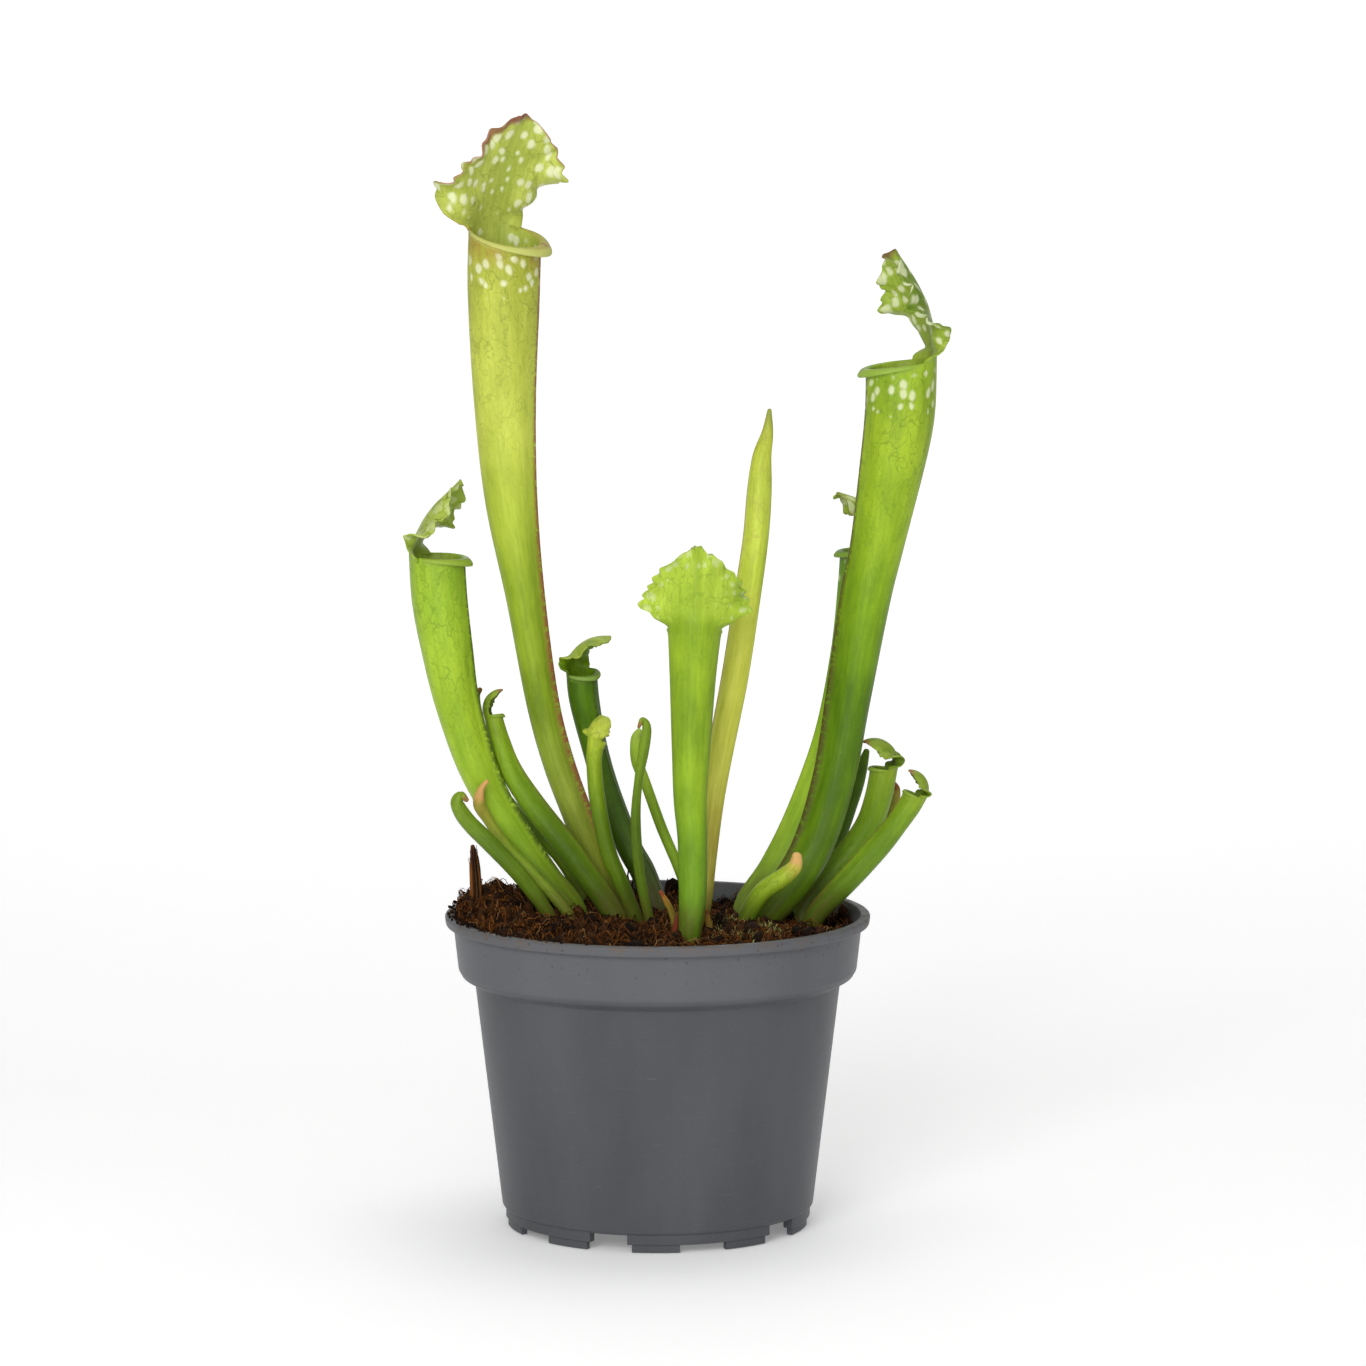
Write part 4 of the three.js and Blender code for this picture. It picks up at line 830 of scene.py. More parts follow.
def white_windows(tree, look, point):
    """The share of a window that shows at each place."""
    straight, patches = point["straight"], point["patches"]
    rise = add(tree, "SeparateXYZ", (straight,), out="Z")
    flat = add(tree, "CombineXYZ", (point["across"], rise))
    sway = add(tree, "TexNoise", {"Vector": straight, "Scale": scale_for(7), "Detail": 1.0}, out="Color")
    swayed = add(tree, "VectorMath", (sway, WINDOW_SWAY, flat), operation="MULTIPLY_ADD")
    layout = add(tree, "Mapping", {"Vector": swayed, "Scale": WINDOW_STRETCH})
    inputs = {"Vector": layout, "Scale": scale_for(look["window_spacing"]), "Randomness": 0.75}
    oval = add(tree, "TexVoronoi", inputs, voronoi_dimensions="2D")
    inputs = {"Vector": straight, "Scale": scale_for(1.11), "Detail": 2.0, "Roughness": 0.55}
    uneven = add(tree, "Math", (add(tree, "TexNoise", inputs), 0.5), **MINUS)
    uneven = add(tree, "Math", (uneven, 0.12), **TIMES)
    oval = add(tree, "Math", (oval, uneven), **PLUS)

    # They are largest just under the lip and away from the hood's margin.
    depth, under_lip = look["window_depth"], 0.0
    if depth:
        high_up = add(tree, "MapRange", (point["drop"], depth, 0.45 * depth), **SOFT)
        off_the_lip = add(tree, "MapRange", (point["drop"], 0.8, 2.8), **SOFT)
        under_lip = add(tree, "Math", (high_up, off_the_lip), **TIMES)
    off_the_margin = add(tree, "MapRange", (point["edge"], *look["window_edge"]), **SOFT)
    on_blade = add(tree, "Math", (point["hood"], off_the_margin), **TIMES)
    size = add(tree, "Math", (under_lip, on_blade), operation="MAXIMUM")
    size = add(tree, "Math", (size, WINDOW_SIZE), **TIMES)
    swelling = add(tree, "Math", (patches, 0.85), **TIMES)
    swelling = add(tree, "Math", (0.55, swelling), **PLUS)
    size = add(tree, "Math", (size, swelling), **TIMES)
    share = add(tree, "MapRange", (add(tree, "Math", (size, oval), **MINUS), -0.06, 0.17), **SOFT)
    return add(tree, "Math", (share, look["windows"]), use_clamp=True, **TIMES)


# %% [markdown]
# ## Ridge shade, scorch and blush
#
# Three marks that few pitchers have: a darker green line along the middle of a pale hood, which is painted
# shade for the crease where the hood folds, a red-brown margin that the sun has scorched, and a brown blush
# under the lip. A painted mask would do for one leaf. A share worked out from the leaf's own measures follows
# its shape at no cost.

# %% Ridge shade, scorch and blush
RIDGE_SHADE_GREEN, BLUSH_BROWN = "#7c991c", "#9a7436"


def ridge_shade(tree, look, point):
    """A darker line along the middle of the hood: painted shade for the crease of its fold."""
    from_middle = add(tree, "Math", (point["across"], 0.0), operation="ABSOLUTE")
    line = add(tree, "MapRange", (from_middle, 2.2, 0.2), **SOFT)
    line = add(tree, "Math", (point["hood"], line), **TIMES)
    return add(tree, "Math", (line, look["ridge_shade"]), **TIMES)


def scorch(tree, look, point, windows):
    """The upper margin on one side of the hood, less over the white windows."""
    high_up = add(tree, "MapRange", (point["up"], 1.38, 1.72), **SOFT)
    at_margin = add(tree, "MapRange", (point["edge"], 3.4, 0.8), **SOFT)
    burnt = add(tree, "Math", (high_up, at_margin), **TIMES)
    one_side = add(tree, "MapRange", (point["across"], 0.0, 2.5), **SOFT)
    burnt = add(tree, "Math", (burnt, one_side), **TIMES)
    spared = add(tree, "Math", (windows, 0.7), **TIMES)
    strength = add(tree, "Math", (look["scorch"], spared), **MINUS)
    return add(tree, "Math", (burnt, strength), use_clamp=True, **TIMES)


def blush(tree, look, point):
    """Patches on the outside of the tube, just below the lip."""
    below_lip = add(tree, "MapRange", (point["drop"], 10.0, 1.5), **SOFT)
    patchy = add(tree, "MapRange", (point["patches"], 0.35, 0.6), **SOFT)
    under = add(tree, "Math", (below_lip, patchy), **TIMES)
    elsewhere = add(tree, "Math", (point["hood"], point["inside"]), operation="MAXIMUM")
    outside = add(tree, "Math", (1.0, elsewhere), **MINUS)
    under = add(tree, "Math", (under, outside), use_clamp=True, **TIMES)
    return add(tree, "Math", (under, 0.75 * look["blush"]), **TIMES)


# %% [markdown]
# ## Keel, margin, tip and foot
#
# Along its front a pitcher has a keel with a dark broken line, its hood a thin dry margin, its tip dries
# first, and its foot carries earth. Hard masks would look printed, so each share ends softly and a noise
# breaks it up.

# %% Keel, margin, tip and foot
EARTH_BROWN = "#5a4426"


def keel_line(tree, look, point):
    """A broken line down the keel."""
    inputs = {"Vector": point["straight"], "Scale": scale_for(1.11), "Detail": 2.0, "Roughness": 0.55}
    dots = add(tree, "MapRange", (add(tree, "TexNoise", inputs), 0.3, 0.5), **SOFT)
    width = look["keel_width"]
    line = add(tree, "MapRange", (point["keel"], width, 0.15 * width), **SOFT)
    line = add(tree, "Math", (line, look["keel_line"]), **TIMES)
    above_foot = add(tree, "MapRange", (point["up"], 0.08, 0.3), **SOFT)
    broken = add(tree, "Math", (dots, above_foot), **TIMES)
    return add(tree, "Math", (line, broken), **TIMES)


def dry_margin(tree, look, point):
    """A thin border of changing width round the hood, gone in places."""
    inputs = {"Vector": point["straight"], "Scale": scale_for(2), "Detail": 3.0, "Roughness": 0.55}
    width = add(tree, "Math", (point["patches"], add(tree, "TexNoise", inputs)), **PLUS)
    width = add(tree, "Math", (width, look["margin_width"]), **TIMES)
    from_border = add(tree, "Math", (point["edge"], width), **MINUS)
    border = add(tree, "MapRange", (from_border, 0.45, -0.15), **SOFT)
    border = add(tree, "Math", (border, point["hood"]), **TIMES)
    inputs = {"Vector": point["straight"], "Scale": scale_for(6.2), "Detail": 3.0, "Roughness": 0.55}
    in_places = add(tree, "MapRange", (add(tree, "TexNoise", inputs), 0.42, 0.58), **SOFT)
    border = add(tree, "Math", (border, in_places), **TIMES)
    return add(tree, "Math", (border, 0.85), **TIMES)


def dried_tip(tree, look, point):
    """Everything above the look's tip_from, with a ragged lower edge."""
    ragged = add(tree, "Math", (point["patches"], 0.5), **MINUS)
    ragged = add(tree, "Math", (ragged, 0.16), **TIMES)
    ragged = add(tree, "Math", (point["up"], ragged), **PLUS)
    return add(tree, "MapRange", (ragged, look["tip_from"] - 0.03, look["tip_from"] + 0.05), **SOFT)


def earthy_foot(tree, point):
    """Streaks of soil on the lowest 14 mm."""
    low_down = add(tree, "MapRange", (point["along"], 14.0, 4.0), **SOFT)
    streaks = add(tree, "MapRange", (point["lines"], 0.35, 0.6), **SOFT)
    earthy = add(tree, "Math", (low_down, streaks), **TIMES)
    return add(tree, "Math", (earthy, 0.55), **TIMES)


# %% [markdown]
# ## The leaf material
#
# The coats go on from the flesh up. The surface is a living leaf's: the shader's usual specular level would
# look like plastic film, so it is turned down to 0.2, dried parts are duller, and the relief of streaks,
# sunken veins and pores is a tenth of a millimetre or so, which a mesh could only carry with huge numbers
# of faces.

# %% The leaf material
LEAF_SPECULAR = 0.2


def leaf_material(name, look):
    """The layers of a leaf's colour, from the flesh up to its edges and tip, and its waxy surface."""
    look = {**BASE_LOOK, **look}
    material, tree = new_material(name)
    point = leaf_numbers(tree)
    net, net_share = vein_net(tree, look, point)
    windows = white_windows(tree, look, point) if look["windows"] else 0.0
    dried = dried_tip(tree, look, point)
    colour = coated(tree, flesh(tree, look, point), [
        (net_share, look["vein"]),
        # painted shade down the crease of a folded hood
        (ridge_shade(tree, look, point) if look["ridge_shade"] else 0.0, RIDGE_SHADE_GREEN),
        (windows, WINDOW_WHITE),
        (scorch(tree, look, point, windows) if look["scorch"] else 0.0, look["tip"]),
        (blush(tree, look, point) if look["blush"] else 0.0, BLUSH_BROWN),
        (keel_line(tree, look, point) if look["keel_line"] else 0.0, look["keel"]),
        (add(tree, "Math", (point["lip"], 0.9), **TIMES), look["lip"]),
        (dry_margin(tree, look, point) if look["margin_width"] else 0.0, look["margin"]),
        (add(tree, "Math", (dried, 0.9), **TIMES), look["tip"]),
        (earthy_foot(tree, point), EARTH_BROWN),
    ])

    duller = add(tree, "Math", (point["patches"], 0.16), **TIMES)
    rough = add(tree, "Math", (look["gloss"], duller), **PLUS)
    dry = add(tree, "Math", (dried, 0.25), **TIMES)
    rough = add(tree, "Math", (rough, dry), use_clamp=True, **PLUS)
    streaks = add(tree, "Math", (point["lines"], 0.5), **TIMES)
    sunken = add(tree, "Math", (net, 0.35), **TIMES)
    relief = add(tree, "Math", (streaks, sunken), **MINUS)
    normal = add(tree, "Bump", {"Height": relief, "Distance": 0.16 * MM, "Strength": 0.55})
    # Real pores are smaller than a pixel, about 0.3 mm, so they are drawn at 0.38 mm.
    inputs = {"Vector": point["straight"], "Scale": scale_for(0.38), "Detail": 3.0, "Roughness": 0.55}
    pores = {"Height": add(tree, "TexNoise", inputs), "Distance": 0.07 * MM, "Strength": 0.5}
    normal = add(tree, "Bump", {**pores, "Normal": normal})
    if look["windows"]:
        blister = {"Height": windows, "Distance": 0.12 * MM, "Strength": 0.6}
        normal = add(tree, "Bump", {**blister, "Normal": normal})
    wire(tree, tree.nodes["Principled BSDF"], {
        "Base Color": colour, "Roughness": rough, "Normal": normal, "Specular IOR Level": LEAF_SPECULAR,
    })
    return material


MATERIALS = {key: leaf_material("leaf_" + key, look) for key, look in LOOKS.items()}
print("leaf materials:", len(MATERIALS))

# %% [markdown]
# ## Sections of a leaf
#
# Every leaf is a tube round a bent middle line, like a hose with a ridge. A curve with a bevel could make
# the hose, but not the keel that stands out at its front, so the sections are worked out point by point: a
# place on the middle line, a direction for the keel, and a radius that grows by the ridge.

# %% Sections of a leaf
NECK_TOP = 0.04  # share of a hood's length that its narrow neck takes
RIDGE = 0.2  # half width of the keel's ridge, in radians
WALL = 0.8  # thickness of a pitcher's wall
BLADE = 0.55  # thickness of its hood
SOIL_RUN = 9.0  # how much of a leaf's length lies in the soil
FAR = 99  # for a distance that a place doesn't have


def stations(leaf, t):
    """The middle points, axes, keel and side directions, radii and keels along a leaf."""
    t = np.atleast_1d(np.asarray(t, float))
    rows = blend_rows(leaf["stem"], t)
    ahead = blend_rows(leaf["stem"], np.minimum(t + 0.01, 1))[:, :3]
    axis = unit(ahead - blend_rows(leaf["stem"], np.maximum(t - 0.01, 0))[:, :3])
    compass = np.radians(leaf["face"] + leaf.get("twist", 0) * smooth(t, 0.6, 1))
    front = np.stack([np.cos(compass), np.sin(compass), 0 * compass], axis=1)
    front = unit(front - axis * (front * axis).sum(1, keepdims=True))
    side = np.cross(axis, front)
    return dict(middle=rows[:, :3], axis=axis, front=front, side=side, radius=rows[:, 3], keel=rows[:, 4])


def on_section(at, angles, out, up=0.0):
    """Points out from the middle at angles from the keel, and up along the axis: one row for each station."""
    out, up = (np.broadcast_to(v, (len(at["radius"]), len(angles)))[..., None] for v in (out, up))
    p = at["middle"][:, None] + at["axis"][:, None] * up
    p = p + at["front"][:, None] * (out * np.cos(angles)[:, None])
    return p + at["side"][:, None] * (out * np.sin(angles)[:, None])


def from_keel(leaf, t, angles):
    """The angle of each ring point from the keel's ridge, which keeps straight where the leaf twists."""
    back = -math.radians(leaf.get("twist", 0)) * smooth(t, 0.6, 1)
    turn = np.abs(angles - back) % (2 * np.pi)
    return np.minimum(turn, 2 * np.pi - turn)


def skin_radius(leaf, t, at, angles):
    """How far the skin stands from the middle, with the keel's ridge at the front."""
    return at["radius"][:, None] + at["keel"][:, None] * np.exp(-((from_keel(leaf, t, angles) / RIDGE) ** 2))


def stem_lengths(leaf, t):
    """How far along the leaf each t is, in millimetres."""
    fine = np.linspace(0, 1, 200)
    p = blend_rows(leaf["stem"], fine)[:, :3]
    run = np.concatenate([[0], np.cumsum(np.linalg.norm(np.diff(p, axis=0), axis=1))])
    return np.interp(t, fine, run)


def tube_layers(leaf, at, angles, t, rise, total, inside=0.0, lip=0.0):
    """What the material needs at the points of one ring."""
    turn = from_keel(leaf, t, angles)
    r = at["radius"][0]
    straight = np.stack([r * np.cos(angles), r * np.sin(angles), 0 * angles + rise], axis=1)
    place = np.stack([0 * angles + t, 0 * angles + FAR, turn * r], axis=1)
    # Measured both ways from the front, so that the seam of the patterns lies at the back.
    across = np.where(angles > np.pi + 1e-6, angles - 2 * np.pi, angles) * r
    depth = np.stack([0 * angles + total - rise, across, 0 * angles + rise - SOIL_RUN], axis=1)
    return dict(straight=straight, place=place, mask=(0, inside, lip), depth=depth)
print("length of the tallest leaf:", round(float(stem_lengths(LEAVES["pitcher_left_tall"], [1])[0])), "mm")

# %% [markdown]
# ## Closed leaves
#
# Young, slim and dying leaves have no mouth. Their tube tapers and ends in a small dome of three shrinking
# rings and one point. A subdivided cone could do the same, but would lose the leaf's own measures.

# %% Closed leaves
def closed_leaf(name, leaf, sides=28):
    """A slim or closed leaf with a rounded tip."""
    skin = Skin()
    angles = np.linspace(0, 2 * np.pi, sides, endpoint=False)
    ts = np.linspace(0, 1, len(leaf["stem"]) * 9)
    total = stem_lengths(leaf, [1.0])[0]
    rings = []
    for t in ts:
        at = stations(leaf, t)
        rise = stem_lengths(leaf, [t])[0]
        # No leaf is turned on a lathe: three faint flutes come and go along it.
        wobble = 1 + 0.035 * np.sin(3 * angles + 9 * t) * np.sin(17 * t)
        points = on_section(at, angles, skin_radius(leaf, t, at, angles) * wobble)[0]
        rings.append(skin.row(points, **tube_layers(leaf, at, angles, t, rise, total)))
    end = stations(leaf, 1)
    r = end["radius"][0]
    for share in (0.35, 0.65, 0.85):
        shrink = math.sqrt(1 - share * share)
        points = on_section(end, angles, skin_radius(leaf, 1, end, angles) * shrink, 0.9 * r * share)[0]
        rings.append(skin.row(points, **tube_layers(leaf, end, angles, 1, total, total)))
    for low, high in zip(rings, rings[1:]):
        skin.join(low, high)
    layers = tube_layers(leaf, end, angles[:1], 1, total, total)
    top = skin.row(on_section(end, angles[:1], 0.0, 0.9 * r)[0], **layers)
    skin.fan(rings[-1], top[0])
    start = stations(leaf, 0)
    foot = skin.row(start["middle"], **tube_layers(leaf, start, angles[:1], 0, 0, total))
    skin.fan(rings[0], foot[0], flip=True)
    skin.points = [drawn_in(np.concatenate(skin.points))]
    slot = {**BASE_LOOK, **LOOKS[leaf["look"]]}["slot"]
    return skin.piece(name + "_leaf", MATERIALS[leaf["look"]], slot, [name])

# %% [markdown]
# ## The hood
#
# A hood is a blade that grows from the back of the mouth. It bends forwards over it, its ears at the foot
# bend back, and its margin is frilled and toothed. Cloth simulation could ruffle a flat blade, but not
# place the ears. So the blade is laid out by s, from its neck to its tip, and w, from side to side, and
# each point is carried along two bends, first up the middle and then out to the side.

# %% The hood
BEND_STEPS = 12
TOOTH_DEPTH = 0.055  # of the half width


def hood_half(hood, neck_half, s, w):
    """The blade's half width at s along it, on the side of the sign of w."""
    q = np.clip((s - hood["widest"]) / (1 - hood["widest"]), 0, 1)
    uneven = 1 + hood.get("skew", 0) * np.sign(w) * smooth(s, hood["widest"], 0.8)
    above = np.maximum(hood["half"] * uneven * (1 - q ** hood["full"]) ** hood.get("taper", 0.5), 0.6)
    fill = np.where(w < 0, *hood.get("fill", (1.0, 1.0)))
    below = mix(neck_half, hood["half"], smooth(s, NECK_TOP, hood["widest"]) ** fill)
    return np.where(s < hood["widest"], below, above)


def on_hood(hood, mouth, s, w):
    """The blade's back at s along it (a column) and w across it (a row): points, and the half width there."""
    s, w = s[:, None], w[None, :]
    axis, front0, side0, radius = (mouth[k][0] for k in ("axis", "front", "side", "radius"))
    twist = math.radians(hood["turn"]) * smooth(s, 0, 0.6)[..., None]
    front = front0 * np.cos(twist) + side0 * np.sin(twist)
    side = side0 * np.cos(twist) - front0 * np.sin(twist)
    lean = lambda q: np.radians(mix(hood["lean"][0], hood["lean"][1], q))[..., None]
    p = on_section(mouth, np.array([np.pi]), radius, mouth["rim"])[0][None]
    for i in range(BEND_STEPS):
        tilt = lean((i + 0.5) / BEND_STEPS * s)
        length = (hood["length"] * s / BEND_STEPS)[..., None]
        p = p + axis * (length * np.cos(tilt)) + front * (length * np.sin(tilt))
    inward = front * np.cos(lean(s)) - axis * np.sin(lean(s))
    half = hood_half(hood, radius * math.radians(hood["neck"]), s, w)
    peak = hood.get("peak", 0) * np.exp(-((w * half / 2.0) ** 2)) * smooth(s, 0.8, 1)
    p = p + (axis * np.cos(lean(s)) + front * np.sin(lean(s))) * peak[..., None]
    spread = np.arctan2(w * half, (s - 0.35) * hood["length"] + 0 * w)
    phase = 1.25 * hood["waves"] * spread + 1.3 + 0.9 * np.sin(5 * spread)
    teeth = 1.6 * np.abs(np.sin(phase)) - 1 + 0.12 * np.sin(4.1 * hood["waves"] * spread)
    scallop = TOOTH_DEPTH * np.abs(w) ** 5 * smooth(s, 0.03, 0.1) * teeth
    reach = half * (1 + scallop)
    swing = half / mix(radius, radius * hood["hollow"], smooth(s, 0, 0.5))
    ears = hood["ears"] * np.exp(-(((s - 0.2) / 0.17) ** 2)) * smooth(s, 0, 0.1)
    out, into = 0.0, 0.0
    for i in range(BEND_STEPS):
        q = np.abs(w) * (i + 0.5) / BEND_STEPS
        turn = swing * q - ears * smooth(q, 0.3, 1)
        out = out + np.abs(w) * reach / BEND_STEPS * np.cos(turn)
        into = into + np.abs(w) * reach / BEND_STEPS * np.sin(turn)
    into = into + hood.get("fold", 0) * np.abs(w) * half * smooth(s, 0.02, 0.3)
    margin = 1 - (1 - np.abs(w) ** 3) * (1 - s**6)
    frill = hood["frill"] * margin * smooth(s, 0.02, 0.3) * np.sin(hood["waves"] * spread + 0.8)
    ripple = np.sin(2.7 * hood["waves"] * spread + 2)
    small = 0.45 * hood["frill"] * margin**2 * smooth(s, 0.05, 0.3) * ripple
    p = p + side * (-np.sign(w) * out)[..., None] + inward * (into + frill + small)[..., None]
    return p, half

# %% [markdown]
# ## Open pitchers
#
# A pitcher goes on from its tube over a rolled lip, down its inside to a floor, and up into the hood. The
# parts could be separate meshes pushed into each other, but their seams would show in a close view, so one
# skin runs through them all: the hood's back grows out of the lip and its front out of the inner rim.

# %% The lip's section
# The wall folds outwards and hangs a little over the outside, most at the spout. Each row is a place out
# and a place up, each as a plain length and a share of the roll.
LIP_DROP = 1.2  # how far below the rim the lip's section begins
LIP_PROFILE = [
    (0, 0.0, -LIP_DROP, 0), (0, 0.08, -0.8, -0.02), (0, 0.3, -0.45, -0.06), (0, 0.6, -0.3, -0.14),
    (0, 0.84, -0.2, -0.32), (0, 0.97, -0.15, -0.42), (0.05, 1.04, 0.02, -0.34), (0.05, 1.02, 0.24, -0.2),
    (0, 0.86, 0.42, 0.0), (0, 0.62, 0.52, 0.14), (-0.1, 0.36, 0.55, 0.2), (-0.35, 0.14, 0.5, 0.14),
    (-0.65, 0, 0.3, 0.04),
]
OUTER_ROW = 6  # the lip row that the hood's back grows from
print("rows in a lip:", len(LIP_PROFILE))

# %% The tube
def tilt(leaf, t):
    """How much of the mouth's slope has set in at t."""
    return -leaf["slope"] * smooth(t, 0.8, 1)


def tube(skin, leaf, angles, total, rows):
    """The outside, from the foot to just below the lip."""
    rings = []
    ends = np.linspace(0.9, 1, 60)
    below_lip = np.interp(total - LIP_DROP - 0.4, stem_lengths(leaf, ends), ends)
    for t in np.linspace(0, below_lip, rows):  # the tube's outside
        at = stations(leaf, t)
        rise = stem_lengths(leaf, [t])[0]
        points = on_section(at, angles, skin_radius(leaf, t, at, angles), tilt(leaf, t) * np.cos(angles))[0]
        rings.append(skin.row(points, **tube_layers(leaf, at, angles, t, rise, total)))
    start = stations(leaf, 0)
    foot = skin.row(start["middle"], **tube_layers(leaf, start, angles[:1], 0, 0, total))
    skin.fan(rings[0], foot[0], flip=True)
    return rings


print("the tallest mouth's slope at 0.9 of the length:", round(float(tilt(LEAVES["pitcher_left_tall"], 0.9)), 2), "mm")

# %% The rolled lip
def rolled_lip(skin, leaf, mouth, angles, hood_start, total):
    """The lip's rows: wide at the spout in front, thin at the sides, and gone where the hood begins."""
    turn = np.minimum(angles, 2 * np.pi - angles)
    ahead = 0.5 + 0.5 * np.cos(from_keel(leaf, 1, angles))
    roll = leaf["roll"] * mix(0.16, 1.15, ahead**2) * (1 - smooth(turn, hood_start - 0.6, hood_start))
    on_rim = skin_radius(leaf, 1, mouth, angles)
    lip_rows = []
    for out, out_share, up, up_share in LIP_PROFILE:
        hang = 0.35 * ahead**6 * out_share
        height = up + (up_share - hang) * roll - leaf["slope"] * np.cos(angles)
        present = smooth(roll, 0.02, 0.3)
        outwards = on_rim + (out * present if out > 0 else out) + out_share * roll
        points = on_section(mouth, angles, outwards, height)[0]
        strength = present * (1.0 if out_share > 0.65 else 0.35)
        layers = tube_layers(leaf, mouth, angles, 1, total, total)
        layers["mask"] = np.stack([0 * angles, 0 * angles, strength], axis=1)
        lip_rows.append(skin.row(points, **layers))
    return lip_rows


print("the hood grows from lip row", OUTER_ROW)

# %% The hollow inside
INNER_RINGS = 26


def inner_ring(skin, leaf, angles, total, t, shrink, up):
    """One ring of the inside."""
    at = stations(leaf, t)
    rise = stem_lengths(leaf, [t])[0]
    points = on_section(at, angles, (at["radius"][0] - WALL) * shrink, up + tilt(leaf, t) * np.cos(angles))[0]
    return skin.row(points, **tube_layers(leaf, at, angles, t, rise, total, inside=1.0))


def hollow(skin, leaf, angles, total, above):
    """The inside, from the inner rim down to its floor."""
    deep = np.linspace(1, leaf["hollow"], INNER_RINGS)[1:]
    for t in deep:
        below = inner_ring(skin, leaf, angles, total, t, 0.75 if t == deep[-1] else 1.0, 0.0)
        skin.join(below, above, flip=True)
        above = below
    floor_at = stations(leaf, leaf["hollow"])
    middle = on_section(floor_at, angles[:1], 0.0, -0.4 * floor_at["radius"][0])[0]
    centre = skin.row(middle, **tube_layers(leaf, floor_at, angles[:1], leaf["hollow"], 0, total, inside=1.0))
    skin.fan(above, centre[0])


print("rings down the inside:", INNER_RINGS - 1)

# %% The blade
def blade(skin, leaf, mouth, total, starts, rows, columns):
    """The hood's back and front, which grow out of the lip and out of the inner rim."""
    hood = leaf["hood"]
    s = np.linspace(0, 1, rows + 1)[1:] ** 1.05
    w = np.linspace(-1, 1, columns + 1)
    from_neck = np.concatenate([[0.0], s])
    grid, half = on_hood(hood, mouth, from_neck, w)
    settle = (1 - smooth(from_neck, 0, 0.16))[:, None, None]
    around = np.pi + w * math.radians(hood["neck"])
    grid = grid - mouth["axis"][0] * settle * (leaf["slope"] * (1 + np.cos(around)))[None, :, None]
    tangent_up = np.gradient(grid, axis=0)
    tangent_across = np.gradient(grid, axis=1)
    inward = unit(np.cross(tangent_up, tangent_across))
    thick = mix(WALL, BLADE, smooth(from_neck, 0, 0.12))[:, None, None]
    edges = [grid, grid + inward * thick]
    sheets = [[start] for start in starts]
    r = mouth["radius"][0]
    for i, share in enumerate(s, start=1):
        spread = smooth(share, 0, 0.2)
        to_edge = np.minimum((1 - np.abs(w)) * half[i], (1 - share) * hood["length"] + 0.4)
        for side, sheet in enumerate(sheets):
            x = mix(-r * np.cos(w * math.radians(hood["neck"])), -r, spread)
            y = mix(-r * np.sin(w * math.radians(hood["neck"])), -w * half[i], spread)
            straight = np.stack([x + 2.2 * side, y, 0 * w + total + share * hood["length"]], axis=1)
            margin = to_edge + 3 * (1 - smooth(share, 0, 0.12))
            place = np.stack([0 * w + 1 + share, margin, 0 * w + FAR], axis=1)
            mask = (smooth(share, 0, 0.22), side, 0)
            depth = np.stack([0 * w - 1, w * half[i], 0 * w + FAR], axis=1)
            sheet.append(skin.row(edges[side][i], straight=straight, place=place, mask=mask, depth=depth))
    for side, sheet in enumerate(sheets):
        for low, high in zip(sheet, sheet[1:]):
            skin.join(low, high, closed=False, flip=side == 1)
    return sheets


print("a blade is", BLADE, "mm thick")

# %% The blade's edge
def round_edge(skin, sheets):
    """A rounded edge all round the blade, from one corner of the lip to the other."""
    rim_of = lambda sheet: np.concatenate([
        [row[0] for row in sheet], sheet[-1][1:-1], [row[-1] for row in reversed(sheet)],
    ])
    backs, fronts = rim_of(sheets[0]), rim_of(sheets[1])
    everything = np.concatenate(skin.points)
    middle = (everything[backs] + everything[fronts]) / 2
    inner_neighbours = np.concatenate([
        [row[1] for row in sheets[0]], sheets[0][-2][1:-1], [row[-2] for row in reversed(sheets[0])],
    ])
    outward = unit(everything[backs] - everything[inner_neighbours] + 1e-9)
    reach = np.full(len(middle), 0.3 * BLADE)
    reach[[0, -1]] = 0
    layers = {key: np.concatenate(values)[backs] for key, values in skin.layers.items()}
    rounded = skin.row(middle + outward * reach[:, None], **layers)
    skin.join(backs, rounded, closed=False)
    skin.join(rounded, fronts, closed=False)


print("the edge stands out", round(0.3 * BLADE, 2), "mm")

# %% Open pitchers
# Rows of the tube, half the lip, and the rows and columns of a hood.
COARSE, FINE = (54, 12, 40, 40), (90, 22, 64, 56)


